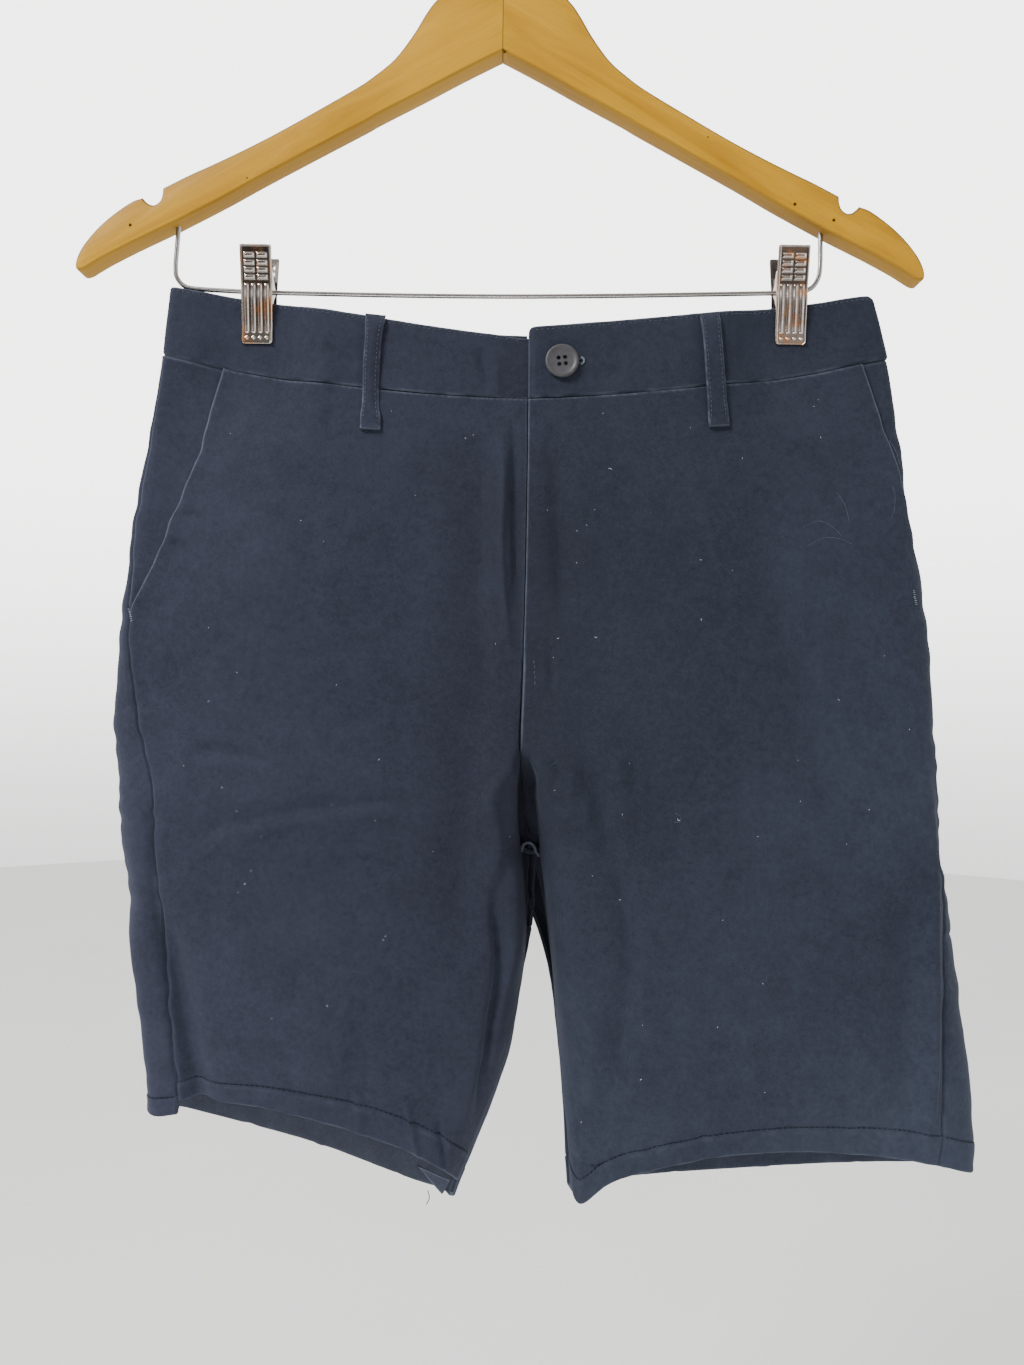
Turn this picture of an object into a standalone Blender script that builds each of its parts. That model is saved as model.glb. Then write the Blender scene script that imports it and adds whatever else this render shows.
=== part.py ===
"""Chino shorts held by the waistband on a wooden clip hanger.

Frame: +Z up, the garment's front faces -Y, +X is the wearer's left.
The origin is the inside top of the hook, where a rail carries the hanger.
Lengths in the tables are millimetres; the scene is in metres.
"""
import math

import bpy
import bmesh
import numpy as np
from mathutils import Vector

MM = 0.001

# ---------------------------------------------------------------- sizes (mm)
CLOTH = 1.2            # one layer of twill with its seam allowances
BAND = 2.4             # waistband: two layers and interfacing
SEAM_GAP = 0.3         # between two sewn pieces
HEM_DEEP = 15.0        # turned-up hem
HEM_THICK = 2.6        # three layers at the hem
LOOP_WIDE = 10.5       # belt loop
LOOP_THICK = 1.8
BUTTON_DIA = 17.5
HANGER_THICK = 13.0
CLIP_WIDE = 16.5
BAR_DIA = 2.5          # clip bar wire
BAR_Z = {-1: -229.4, +1: -226.3}   # the bar where each clip rides
HOOK_WIRE = 4.0
HOOK_INSIDE = 20.0     # inside radius of the hook
CROWN_Z = -60.0        # top of the wood
CLIP_X = {-1: -127.5, +1: 153.3}   # clip centres on the wearer's right, left
CLIP_TOP = {-1: -207.8, +1: -204.8}

# ------------------------------------------------- the garment, level by level
# Each half of the garment is a stack of sections from the centre front round
# the side to the centre back. One row per level:
#  side_z, side_x  the side silhouette        seam     outseam, forward of the side
#  slant           pocket mouth, from outseam in_z, in_x   front inner edge (fly, rise, inseam)
#  edge_x          where that edge is sewn    in_y     middle plane at the inner edge
#  close           0 open body, 1 closed leg  front, back  half depths
#  nose, heel      roundness at the side and at the inner leg (mm)
#  back_z          inner edge at the back     sag_f, sag_b  mid-panel drop of the row
COLS = ("side_z", "side_x", "seam", "slant", "in_z", "in_x", "edge_x", "in_y",
        "close", "front", "back", "nose", "heel", "back_z", "sag_f", "sag_b", "wrap")
LEVELS = ("band top", "waist seam", "hip", "pocket", "fly end", "fork",
          "mid fork", "crotch", "thigh", "low thigh", "hem")
RIGHT = (   # wearer's right, -X
    (-227.6, -174.3, 1, 34.0, -248.5, 15.2, 15.2, 0, 0.00, 8.5, 8.5, 4.6, 14, -248.5, -2.6, -4.0, 0),
    (-263.2, -178.2, 1, 34.0, -286.8, 15.4, 15.4, 0, 0.00, 11, 11, 5.5, 14, -283.0, -5.2, -5.0, 0),
    (-313.6, -185.2, 2, 29.0, -318.5, 15.4, 15.4, 0, 0.00, 16, 18, 8.0, 14, -318.5, -3.0, -2.0, 0),
    (-364.0, -192.4, 4, 17.5, -365.5, 15.2, 15.2, 0, 0.00, 20, 24, 11.0, 14, -368.0, 0.0, 0.0, 0),
    (-412.0, -198.4, 8, -4.0, -418.0, 14.4, 14.4, 0, 0.00, 24, 28, 13.0, 13, -420.0, 0.0, 0.0, 0),
    (-462.0, -199.2, 18, 0.0, -466.0, 12.9, 13.2, 1, 0.04, 28, 30, 15.0, 10, -466.0, 0.0, 0.0, 0),
    (-496.0, -196.6, 23, 0.0, -500.0, 13.2, 16.8, 6, 0.62, 31, 31, 16.0, 8, -500.0, 0.0, 0.0, 0),
    (-527.0, -193.8, 22, 0.0, -526.0, 15.3, 20.3, 12, 1.00, 33, 30, 17.0, 9, -526.0, 0.0, 0.0, 0),
    (-564.0, -189.8, 22, 0.0, -566.0, 17.0, 17.0, 10, 1.00, 34, 29, 19.0, 12, -566.0, 0.0, -3.0, 0),
    (-616.0, -182.8, 21, 0.0, -624.0, 12.0, 12.0, 8, 1.00, 31, 25, 20.0, 14, -624.0, 5.0, -8.0, 9),
    (-661.5, -179.2, 21, 0.0, -710.5, -22.0, -22.0, 8, 1.00, 25, 17, 15.0, 11, -711.5, 31.0, 0.0, 6),
)
LEFT = (    # wearer's left, +X
    (-227.6, 197.8, -15, 34.0, -248.5, 15.2, 15.2, 0, 0.00, 8.5, 8.5, 4.6, 14, -248.5, -1.6, -3.0, 0),
    (-261.2, 205.2, -15, 34.0, -286.8, 15.4, 15.4, 0, 0.00, 11, 11, 5.5, 14, -283.0, -4.0, -4.0, 0),
    (-309.5, 213.6, -15, 29.0, -318.5, 15.4, 15.4, 0, 0.00, 16, 18, 8.0, 14, -318.5, -2.0, -2.0, 0),
    (-361.0, 221.0, -12, 17.5, -365.5, 15.2, 15.2, 0, 0.00, 20, 24, 11.0, 14, -368.0, 0.0, 0.0, 0),
    (-411.0, 227.6, -5, -4.0, -418.0, 14.4, 14.4, 0, 0.00, 24, 28, 13.0, 13, -420.0, 0.0, 0.0, 0),
    (-462.0, 232.2, 1, 0.0, -466.0, 15.4, 13.2, 1, 0.04, 28, 30, 15.0, 10, -466.0, 0.0, 0.0, 0),
    (-494.0, 234.0, 2, 0.0, -500.0, 22.6, 16.8, 6, 0.62, 31, 31, 15.0, 8, -500.0, 0.0, 0.0, 0),
    (-525.0, 236.2, 4, 0.0, -526.0, 25.8, 20.3, 12, 1.00, 33, 30, 15.0, 9, -526.0, 0.0, 0.0, 0),
    (-562.0, 241.2, 9, 0.0, -566.0, 30.0, 30.0, 9, 1.00, 32, 28, 14.0, 11, -566.0, 0.0, -3.0, 0),
    (-620.0, 250.0, 18, 0.0, -624.0, 35.6, 35.6, 4, 1.00, 28, 24, 13.0, 12, -624.0, 3.0, -6.0, 0),
    (-690.2, 255.0, 23, 0.0, -703.0, 42.8, 42.8, 2, 1.00, 21, 18, 12.0, 10, -706.5, 24.0, 1.0, 0),
)


def monotone(ys, t):
    """Smooth curve through ys at t = 0, 1, 2 ... that never overshoots."""
    n = len(ys)
    t = min(max(t, 0.0), n - 1.0)
    k = min(int(t), n - 2)
    steps = [ys[i + 1] - ys[i] for i in range(n - 1)]

    def slope(i):
        if i == 0 or i == n - 1:
            return steps[0] if i == 0 else steps[-1]
        a, b = steps[i - 1], steps[i]
        return 0.0 if a * b <= 0 else 2 * a * b / (a + b)
    u = t - k
    m0, m1 = slope(k), slope(k + 1)
    return ((2 * u**3 - 3 * u**2 + 1) * ys[k] + (u**3 - 2 * u**2 + u) * m0
            + (3 * u**2 - 2 * u**3) * ys[k + 1] + (u**3 - u**2) * m1)


def soft(x):
    x = np.clip(x, 0.0, 1.0)
    return x * x * (3 - 2 * x)


class Half:
    """One half of the garment's outer surface, as sections by level."""

    def __init__(self, side, rows):
        self.side = side
        self.cols = {c: [r[i] for r in rows] for i, c in enumerate(COLS)}
        self.made = {}

    def value(self, col, t):
        return monotone(self.cols[col], t)

    def branch(self, t, depth, z_in, sag):
        """Section from the inner edge to the side, bulging by depth (signed in y)."""
        v = {c: self.value(c, t) for c in ("side_z", "side_x", "in_x", "edge_x",
                                           "in_y", "close", "nose", "heel")}
        wide = abs(v["in_x"] - v["side_x"])
        nose, heel, shut = v["nose"], v["heel"], v["close"]
        a = np.linspace(0, math.pi / 2, 26)
        d = np.concatenate([wide - heel * (1 - np.cos(a))[:-1],
                            np.linspace(wide - heel, nose, 60),
                            nose * (1 - np.cos(a[::-1]))[1:]])
        q = d / wide
        big = abs(depth)
        end = 1 - np.clip(1 - d / nose, 0, 1) ** 2
        body = 1 - (1 - q) ** 2.4
        leg = 1 - np.abs(2 * q - 1) ** 3.2
        shape = nose * np.sqrt(end) + (big - nose) * ((1 - shut) * body + shut * leg)
        turn = np.sqrt(1 - np.clip(1 - (wide - d) / heel, 0, 1) ** 2)
        shape = shape * (1 - shut * (1 - turn))
        x = v["side_x"] - self.side * d
        # the clips press front and back together
        hold = 1 - float(soft((t - 0.75) / 1.2))
        press = hold * soft((38.0 - np.abs(x - CLIP_X[self.side])) / 28.0)
        thin = BAND + 0.16
        shape = np.where(shape > thin, thin + (shape - thin) * (1 - press), shape)
        y = v["in_y"] * q + math.copysign(1, depth) * shape
        run = np.concatenate([[0], np.cumsum(np.hypot(np.diff(x), np.diff(y)))])
        x = x + (v["edge_x"] - v["in_x"]) * soft(1 - run / 10.0)
        if t < 7.6:        # the halves stay a seam gap apart
            part = SEAM_GAP * (0.6 + 1.6 * float(soft((t - 5.6) / 1.2)))
            x = x + self.side * part * soft(1 - run / 9.0)
        u = 1 - run / run[-1]
        z = v["side_z"] + (z_in - v["side_z"]) * u + sag * 4 * u * (1 - u)
        return np.stack([x, y, z], axis=1)

    def row(self, t):
        key = round(t, 6)
        if key not in self.made:
            g = lambda c: self.value(c, t)
            f = self.branch(t, -g("front"), g("in_z"), g("sag_f"))
            b = self.branch(t, g("back"), g("back_z"), g("sag_b"))[::-1]
            pts = np.concatenate([f, b[1:]])
            arc = np.concatenate([[0], np.cumsum(np.linalg.norm(np.diff(pts, axis=0), axis=1))])
            side = arc[len(f) - 1]
            seam = g("seam")
            if seam >= 0:      # measured in x on the front
                seam_at = side - np.interp(seam, np.abs(f[::-1, 0] - f[-1, 0])[:70],
                                           (side - arc[:len(f)])[::-1][:70])
            else:              # measured along the back
                seam_at = side - seam
            wrap = g("wrap")
            if wrap > 0.01:    # the inseam sits forward of the inner fold
                cut = np.array([np.interp(wrap, arc, pts[:, i]) for i in range(3)])
                k = int(np.searchsorted(arc, wrap))
                pts = np.concatenate([[cut], pts[k:], pts[1:k], [cut]])
                arc = np.concatenate([[0], np.cumsum(np.linalg.norm(np.diff(pts, axis=0), axis=1))])
                seam_at -= wrap
            self.made[key] = (arc, pts, seam_at)
        return self.made[key]

    def raw(self, t, s):
        """Points at level t; s runs 0 (inner front) .. 1 (outseam) .. 2 (inner back)."""
        arc, pts, seam = self.row(t)
        s = np.asarray(s, float)
        a = np.where(s <= 1, s * seam, seam + (s - 1) * (arc[-1] - seam))
        return np.stack([np.interp(a, arc, pts[:, i]) for i in range(3)], axis=-1)

    def shift(self, t, s, mm):
        """s moved by mm along the row at level t."""
        arc, _, seam = self.row(t)
        return s + mm / (seam if s + mm * 1e-6 < 1 else arc[-1] - seam)

    def at(self, t, s, out=0.0):
        """Surface points moved out by `out` mm along the outward normal."""
        s = np.atleast_1d(np.asarray(s, float))
        e, dt = 0.006, 0.05
        ta, tb = max(t - dt, 0), min(t + dt, 10)
        down = self.raw(tb, s) - self.raw(ta, s)
        ahead, behind = s + e, s - e
        if self.value("close", t) > 0.999:      # a closed leg runs on past its inseam
            ahead, behind = np.where(ahead > 2, ahead - 2, ahead), np.where(behind < 0, behind + 2, behind)
        along = self.raw(t, np.minimum(ahead, 2)) - self.raw(t, np.maximum(behind, 0))
        n = np.cross(along, down) * -self.side
        n /= np.linalg.norm(n, axis=1)[:, None]
        return self.raw(t, s) + n * np.reshape(out, (-1, 1))

    def level_at(self, z, s=1.0):
        """Level whose point at s has height z."""
        ts = np.linspace(0, 10, 401)
        zs = np.array([self.raw(t, s)[2] for t in ts])
        return float(np.interp(-z, -zs, ts))


HALF = {-1: Half(-1, RIGHT), +1: Half(+1, LEFT)}


def across(t, c, out):
    """Point at level t, c mm from the fly edge: -c on the right half, +c on the left."""
    h = HALF[1] if c >= 0 else HALF[-1]
    return h.at(t, h.shift(t, 0.0, abs(c)), out)[0]


# ---------------------------------------------------------------- materials
def material(name, colour, rough, metal=0.0):
    mat = bpy.data.materials.new(name)
    mat.use_nodes = True
    b = mat.node_tree.nodes["Principled BSDF"]
    b.inputs["Base Color"].default_value = (*colour, 1)
    b.inputs["Roughness"].default_value = rough
    b.inputs["Metallic"].default_value = metal
    return mat


# ---------------------------------------------------------------- mesh builders
def add_object(name, mesh, mat, smooth=40):
    ob = bpy.data.objects.new(name, mesh)
    parts.objects.link(ob)
    mesh.materials.append(mat)
    mesh.shade_smooth()
    mesh.set_sharp_from_angle(angle=math.radians(smooth))
    return ob


def wall(name, outer, inner, mat, flip=False):
    """Closed wall between two grids of points of the same shape (mm)."""
    outer, inner = np.asarray(outer), np.asarray(inner)
    n, m = outer.shape[:2]
    bm = bmesh.new()
    vo = [[bm.verts.new(Vector(p) * MM) for p in row] for row in outer]
    vi = [[bm.verts.new(Vector(p) * MM) for p in row] for row in inner]
    for i in range(n - 1):
        for j in range(m - 1):
            bm.faces.new((vo[i][j], vo[i + 1][j], vo[i + 1][j + 1], vo[i][j + 1]))
            bm.faces.new((vi[i][j], vi[i][j + 1], vi[i + 1][j + 1], vi[i + 1][j]))
    rim = ([(0, j) for j in range(m)] + [(i, m - 1) for i in range(1, n)]
           + [(n - 1, j) for j in range(m - 2, -1, -1)] + [(i, 0) for i in range(n - 2, 0, -1)])
    for (a, b), (c, d) in zip(rim, rim[1:] + rim[:1]):
        bm.faces.new((vo[a][b], vo[c][d], vi[c][d], vi[a][b]))
    bmesh.ops.recalc_face_normals(bm, faces=bm.faces)
    mesh = bpy.data.meshes.new(name)
    bm.to_mesh(mesh)
    bm.free()
    return add_object(name, mesh, mat)


def outline(name, pts, half, mat, centre=(0, 0, 0), turn=(0, 0, 0), bevel=0.0):
    """Flat outline (mm) extruded by half its thickness each way, as a welded mesh."""
    cu = bpy.data.curves.new(name + "_outline", "CURVE")
    cu.dimensions = "2D"
    cu.fill_mode = "BOTH"
    cu.extrude = half * MM
    sp = cu.splines.new("POLY")
    sp.points.add(len(pts) - 1)
    for p, (x, y) in zip(sp.points, pts):
        p.co = (x * MM, y * MM, 0, 1)
    sp.use_cyclic_u = True
    src = bpy.data.objects.new(name + "_outline", cu)
    parts.objects.link(src)
    src.location = Vector(centre) * MM
    src.rotation_euler = turn
    return curve_mesh(name, src, mat, bevel)


def curve_mesh(name, src, mat, bevel=0.0):
    """Mesh of a curve object with its caps welded; the curve is removed."""
    bpy.context.view_layer.update()
    dg = bpy.context.evaluated_depsgraph_get()
    mesh = bpy.data.meshes.new_from_object(src.evaluated_get(dg))
    mesh.name = name
    mat4 = src.matrix_world.copy()
    bpy.data.objects.remove(src)
    bm = bmesh.new()
    bm.from_mesh(mesh)
    bmesh.ops.remove_doubles(bm, verts=bm.verts, dist=1e-6)
    bmesh.ops.recalc_face_normals(bm, faces=bm.faces)
    bm.to_mesh(mesh)
    bm.free()
    ob = bpy.data.objects.new(name, mesh)
    parts.objects.link(ob)
    ob.matrix_world = mat4
    mesh.materials.clear()
    mesh.materials.append(mat)
    mesh.shade_smooth()
    mesh.set_sharp_from_angle(angle=math.radians(38))
    if bevel:
        b = ob.modifiers.new("edges", "BEVEL")
        b.width = bevel * MM
        b.segments = 2
        b.limit_method = "ANGLE"
        b.angle_limit = math.radians(50)
    return ob


def wire(name, pts, dia, mat, res=2):
    """Round wire through points (mm)."""
    cu = bpy.data.curves.new(name, "CURVE")
    cu.dimensions = "3D"
    cu.bevel_depth = dia / 2 * MM
    cu.bevel_resolution = res
    cu.use_fill_caps = True
    sp = cu.splines.new("POLY")
    sp.points.add(len(pts) - 1)
    for p, co in zip(sp.points, pts):
        p.co = (*(Vector(co) * MM), 1)
    src = bpy.data.objects.new(name + "_path", cu)
    parts.objects.link(src)
    return curve_mesh(name, src, mat)


def smooth_path(knots, per=6):
    """Catmull-Rom points through knots."""
    k = [Vector(p) for p in knots]
    k = [k[0] * 2 - k[1]] + k + [k[-1] * 2 - k[-2]]
    out = []
    for i in range(1, len(k) - 2):
        a, b, c, d = k[i - 1], k[i], k[i + 1], k[i + 2]
        for j in range(per):
            u = j / per
            out.append(0.5 * (2 * b + (c - a) * u + (2 * a - 5 * b + 4 * c - d) * u * u
                              + (3 * b - a - 3 * c + d) * u ** 3))
    out.append(k[-2])
    return out


def bore(ob, at, dia, length, axis="Z"):
    """Round hole in ob by an exact Boolean."""
    bpy.ops.mesh.primitive_cylinder_add(vertices=20, radius=dia / 2 * MM, depth=length * MM,
                                        location=Vector(at) * MM)
    c = bpy.context.object
    if axis == "X":
        c.rotation_euler = (0, math.pi / 2, 0)
    if axis == "Y":
        c.rotation_euler = (math.pi / 2, 0, 0)
    c.name = "cut_" + ob.name
    for col in list(c.users_collection):
        col.objects.unlink(c)
    cutters.objects.link(c)
    c.hide_render = True
    c.display_type = "WIRE"
    m = ob.modifiers.new("hole", "BOOLEAN")
    m.operation = "DIFFERENCE"
    m.object = c
    return c


# ---------------------------------------------------------------- the scene
for ob in list(bpy.data.objects):
    bpy.data.objects.remove(ob)
parts = bpy.data.collections.new("chino_shorts_on_hanger")
cutters = bpy.data.collections.new("cutters")
bpy.context.scene.collection.children.link(parts)
bpy.context.scene.collection.children.link(cutters)

NAVY = material("navy twill", (0.035, 0.045, 0.068), 0.92)
NAVY_BAND = material("navy waistband", (0.033, 0.043, 0.066), 0.92)
LINING = material("pocket cloth", (0.05, 0.06, 0.08), 0.95)
BUTTON = material("grey button", (0.11, 0.105, 0.115), 0.45)
WOOD = material("varnished wood", (0.60, 0.34, 0.09), 0.35)
CHROME = material("chromed steel", (0.75, 0.75, 0.76), 0.2, 1.0)
ZIP = material("zip", (0.06, 0.06, 0.07), 0.6)


# ---------------------------------------------------------------- body panels
def steps(a, b, n):
    return [a + (b - a) * i / n for i in range(n + 1)]


def hem_level(h, s, mm):
    """Level that lies mm above the hem along s."""
    end = h.raw(10, s)
    return 10 - mm / float(np.linalg.norm(end - h.raw(9.5, s))) * 0.5


TOP_LEVELS = (1.5, 2, 2.5, 3, 3.4, 3.6, 3.8)      # rows that the pocket pieces share
EDGE_COLUMNS = (32.0, 19.0, 11.0, 5.0)       # columns by the outseam and pocket mouth
INNER_COLUMNS = (3.5, 8.0, 15.0, 30.0)       # and by the centre seam and inseam


def first_level(h):
    return 1 + SEAM_GAP / 2 / float(np.linalg.norm(h.raw(1.2, 0.5) - h.raw(1, 0.5))) * 0.2


def panel(name, side, front, middle):
    """A leg panel from the waist seam to the hem, hem doubled inside."""
    h = HALF[side]
    t_hem = hem_level(h, 0.5 if front else 1.5, HEM_DEEP)
    levels = [first_level(h), *TOP_LEVELS, 4.3, 4.8, 5.2, 5.6, 6, 6.35, 6.7, 7, 7.3, 7.65, 8,
              8.5, 9, 9.35, t_hem - 0.006, t_hem + 0.006, 10]
    outer, inner = [], []
    for t in levels:
        thick = HEM_THICK if t > t_hem else CLOTH
        gap = SEAM_GAP / 2
        arc, _, seam = h.row(t)
        if front:      # distances from the inner edge, then the same from the outer one
            total = seam - max(float(np.interp(t, range(11), h.cols["slant"])), gap)
        else:
            total = arc[-1] - seam - gap
        cols = ([gap, *INNER_COLUMNS]
                + list(np.linspace(INNER_COLUMNS[-1], total - EDGE_COLUMNS[0], middle + 2)[1:-1])
                + [total - d for d in EDGE_COLUMNS] + [total])
        cols = np.array(cols)
        s = cols / seam if front else 2 - cols / (arc[-1] - seam)
        outer.append(h.at(t, s, 0.0))
        inner.append(h.at(t, s, -thick))
    return wall(name, outer, inner, NAVY)


panel("front_right", -1, True, 4)
panel("front_left", +1, True, 4)
panel("back_right", -1, False, 5)
panel("back_left", +1, False, 5)


# ---------------------------------------------------------------- slant pockets
def facing(name, side):
    """Piece seen in the pocket mouth, sewn to the outseam and under the front."""
    h = HALF[side]
    outer, inner = [], []
    for t in (first_level(h), *TOP_LEVELS):
        mouth = float(np.interp(t, range(11), h.cols["slant"]))
        near = SEAM_GAP / 2 + 3.0 * float(soft((t - 3.2) / 0.6))
        dist = np.array([mouth + d for d in EDGE_COLUMNS[1:]]
                        + [max(mouth * k, near) + 0.2 * (4 - j) * (k < 1)
                           for j, k in enumerate((1.0, 0.75, 0.5, 0.3, 0.0))])
        if mouth < near + 1.5:
            dist[3:] = dist[2] - np.array([0.4, 0.8, 1.2, 1.6, 2.0])
        arc, _, seam = h.row(t)
        s = 1 - dist / seam
        under = np.maximum(soft(dist / max(mouth * 0.6, 1.0)), soft((t - 3.0) / 0.4))
        deep = (CLOTH + 2 * SEAM_GAP) * np.where(dist >= mouth - 0.01, 1.0, under)
        outer.append(h.at(t, s, -deep))
        inner.append(h.at(t, s, -deep - CLOTH))
    return wall(name, outer, inner, NAVY)


BAG_IN = 4.0           # the bag's distance in from the front's outside


def bag(name, side):
    """Pocket bag: one piece of cloth folded at its bottom, hanging inside."""
    h = HALF[side]
    levels = (1.35, *TOP_LEVELS, 4.3, 4.8)
    path = [(t, 0) for t in levels] + [(levels[-1] + 0.03, 0.5)] + [(t, 1) for t in reversed(levels)]
    outer, inner = [], []
    for t, layer in path:
        round_off = 40.0 * max(0.0, (t - 3.9)) ** 2
        arc, _, seam = h.row(t)
        start = 20 + h.value("nose", t) + max(0.0, -h.value("seam", t)) + round_off * 0.4
        s = 1 - np.linspace(158 - round_off, start, 8) / seam
        if layer == 0.5:      # the fold
            outer.append(h.at(t, s, -(BAG_IN + 1.3)))
            inner.append(h.at(t - 0.018, s, -(BAG_IN + 1.3)))
        else:
            deep = BAG_IN + 2.6 * layer
            outer.append(h.at(t, s, -deep))
            inner.append(h.at(t, s, -(deep + (1.0 if layer == 0 else -1.0))))
    return wall(name, outer, inner, LINING)


for side, word in ((-1, "right"), (+1, "left")):
    facing("pocket_facing_" + word, side)
    bag("pocket_bag_" + word, side)


# ---------------------------------------------------------------- fly
def fly_strip(name, c0, c1, cols, t0, t1, rows, deep, thick, mat, rib=None):
    """Strip behind the fly edge; deep is its distance in, rib a thicker middle."""
    outer, inner = [], []
    for t in steps(t0, t1, rows):
        po, pi = [], []
        for c in cols and np.unique(np.concatenate([np.linspace(c0, c1, cols + 1), rib[:4] if rib else []])):
            more = rib[4] if rib and rib[1] - 1e-6 <= c <= rib[2] + 1e-6 else 0.0
            po.append(across(t, float(c), -deep))
            pi.append(across(t, float(c), -(deep + thick + more)))
        outer.append(po)
        inner.append(pi)
    return wall(name, outer, inner, mat)


fly_strip("zip", 3.0, 29.0, 2, 1.34, 3.85, 7, CLOTH + SEAM_GAP, 0.8, ZIP,
          rib=(12.4, 13.0, 19.0, 19.6, 1.0))
fly_strip("zip_slider", 12.5, 19.5, 2, 1.10, 1.32, 2, CLOTH + SEAM_GAP, 1.8, ZIP)
fly_strip("fly_underlap", -12.0, 38.0, 7, 1.01, 4.12, 9, 3.6, CLOTH, NAVY)


# ---------------------------------------------------------------- waistband
def band(name, side):
    """Half waistband; the right one runs on under the left to carry the button."""
    h, other = HALF[side], HALF[1]
    outer, inner = [], []
    for t in (0.0, 0.33, 0.66, 0.985):
        s = 2 - (2 - 0) * np.linspace(0, 1, 27)
        s[0] = 2 + (h.shift(t, 2.0, -SEAM_GAP / 2) - 2)
        arc, _, seam = h.row(t)
        total = arc[-1]
        back = np.linspace(SEAM_GAP / 2, total - seam, 13)
        front = np.linspace(0, seam, 14)[1:]
        s = np.concatenate([2 - back / (total - seam), 1 - front / seam])
        # the right half dips below the left one and passes under it
        from_cf = np.where(s <= 1, s * seam, 1e3)
        drop = np.zeros_like(s)
        deep = np.zeros_like(s)
        if side < 0:
            deep = (BAND + SEAM_GAP) * soft(1 - from_cf / 22.0)
            drop = 5.4 * soft(1 - from_cf / 130.0) * (1 - t)
        else:
            s[-1] = h.shift(t, 0.0, SEAM_GAP)
        po = list(h.at(t, s, -deep) - np.stack([0 * drop, 0 * drop, drop], 1))
        pi = list(h.at(t, s, -deep - BAND) - np.stack([0 * drop, 0 * drop, drop], 1))
        if side < 0:
            down = Vector((0, 0, -5.4 * (1 - t)))
            for c in (8.0, 16.0, 24.0, 30.0):
                po.append(across(t, c, -(BAND + SEAM_GAP)) + np.array(down))
                pi.append(across(t, c, -(2 * BAND + SEAM_GAP)) + np.array(down))
        outer.append(po)
        inner.append(pi)
    return wall(name, outer, inner, NAVY_BAND)


band("waistband_right", -1)
band("waistband_left", +1)


# ---------------------------------------------------------------- belt loops
# name, side, mm from the fly edge (front) or from the centre back seam (back)
LOOPS = (
    ("belt_loop_front_right", -1, "front", 79.8, 0.8),
    ("belt_loop_front_left", +1, "front", 94.6, 2.6),
    ("belt_loop_back_right", -1, "back", 95.0, 0.0),
    ("belt_loop_back_left", +1, "back", 95.0, 0.0),
    ("belt_loop_back_centre", +1, "centre", 0.0, 0.0),
)
# along a loop: level, distance out, thickness
LOOP_PATH = ((0.05, 0.4, 3.2), (0.10, 0.9, 2.4), (0.17, 1.8, LOOP_THICK), (0.38, 2.6, LOOP_THICK),
             (0.70, 2.6, LOOP_THICK), (1.0, 2.2, LOOP_THICK), (1.42, 1.4, LOOP_THICK),
             (1.47, 0.6, 3.2), (1.62, 0.5, 3.2))


def loop(name, side, where, mm, lean):
    h = HALF[side]
    outer, inner = [], []
    for t, out, thick in LOOP_PATH:
        tt = max(t, 0.0)
        arc, _, seam = h.row(tt)
        po, pi = [], []
        for k in (-1, -0.5, 0.5, 1):
            d = mm + k * LOOP_WIDE / 2 + lean * t
            if where == "front":
                f = lambda o: h.at(tt, d / seam, o)[0]
            elif where == "back":
                f = lambda o: h.at(tt, 2 - d / (arc[-1] - seam), o)[0]
            else:
                hh = HALF[1] if d >= 0 else HALF[-1]
                a2, _, s2 = hh.row(tt)
                f = lambda o: hh.at(tt, 2 - abs(d) / (a2[-1] - s2), o)[0]
            up = np.array([0, 0, 35.0 * (tt - t)])
            po.append(f(out + thick) + up)
            pi.append(f(out) + up)
        outer.append(po)
        inner.append(pi)
    return wall(name, outer, inner, NAVY)


for row in LOOPS:
    loop(*row)


# ---------------------------------------------------------------- button
def button(name, t, c):
    """Four-hole button: a turned profile with a rim and dished middle."""
    at = across(t, c, 1.0)
    n = across(t, c, 2.0) - at
    n /= np.linalg.norm(n)
    r = BUTTON_DIA / 2
    profile = [(0, 2.3), (r * 0.52, 2.3), (r * 0.66, 3.0), (r * 0.80, 3.4), (r * 0.92, 3.2),
               (r, 2.4), (r, 1.2), (r * 0.86, 0.3), (r * 0.5, 0.0), (0, 0.0)]
    bm = bmesh.new()
    vs = [bm.verts.new((x * MM, 0, z * MM)) for x, z in profile]
    for a, b in zip(vs, vs[1:]):
        bm.edges.new((a, b))
    mesh = bpy.data.meshes.new(name)
    bm.to_mesh(mesh)
    bm.free()
    ob = bpy.data.objects.new(name, mesh)
    parts.objects.link(ob)
    mesh.materials.append(BUTTON)
    sc = ob.modifiers.new("turn", "SCREW")
    sc.angle = 2 * math.pi
    sc.steps = sc.render_steps = 28
    sc.use_merge_vertices = True
    sc.merge_threshold = 1e-5
    sc.use_smooth_shade = True
    ob.location = Vector(at) * MM
    ob.rotation_euler = Vector(n).to_track_quat("Z", "Y").to_euler()
    bpy.context.view_layer.update()
    turn = ob.matrix_world.to_3x3()
    for k in range(4):
        a = math.pi / 4 + k * math.pi / 2
        p = ob.matrix_world @ (Vector((math.cos(a) * 2.3, math.sin(a) * 2.3, 1.2)) * MM)
        c = bore(ob, p / MM, 1.7, 8)
        c.rotation_euler = turn.to_euler()
    return ob


button("button", 0.545, 16.3)


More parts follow.
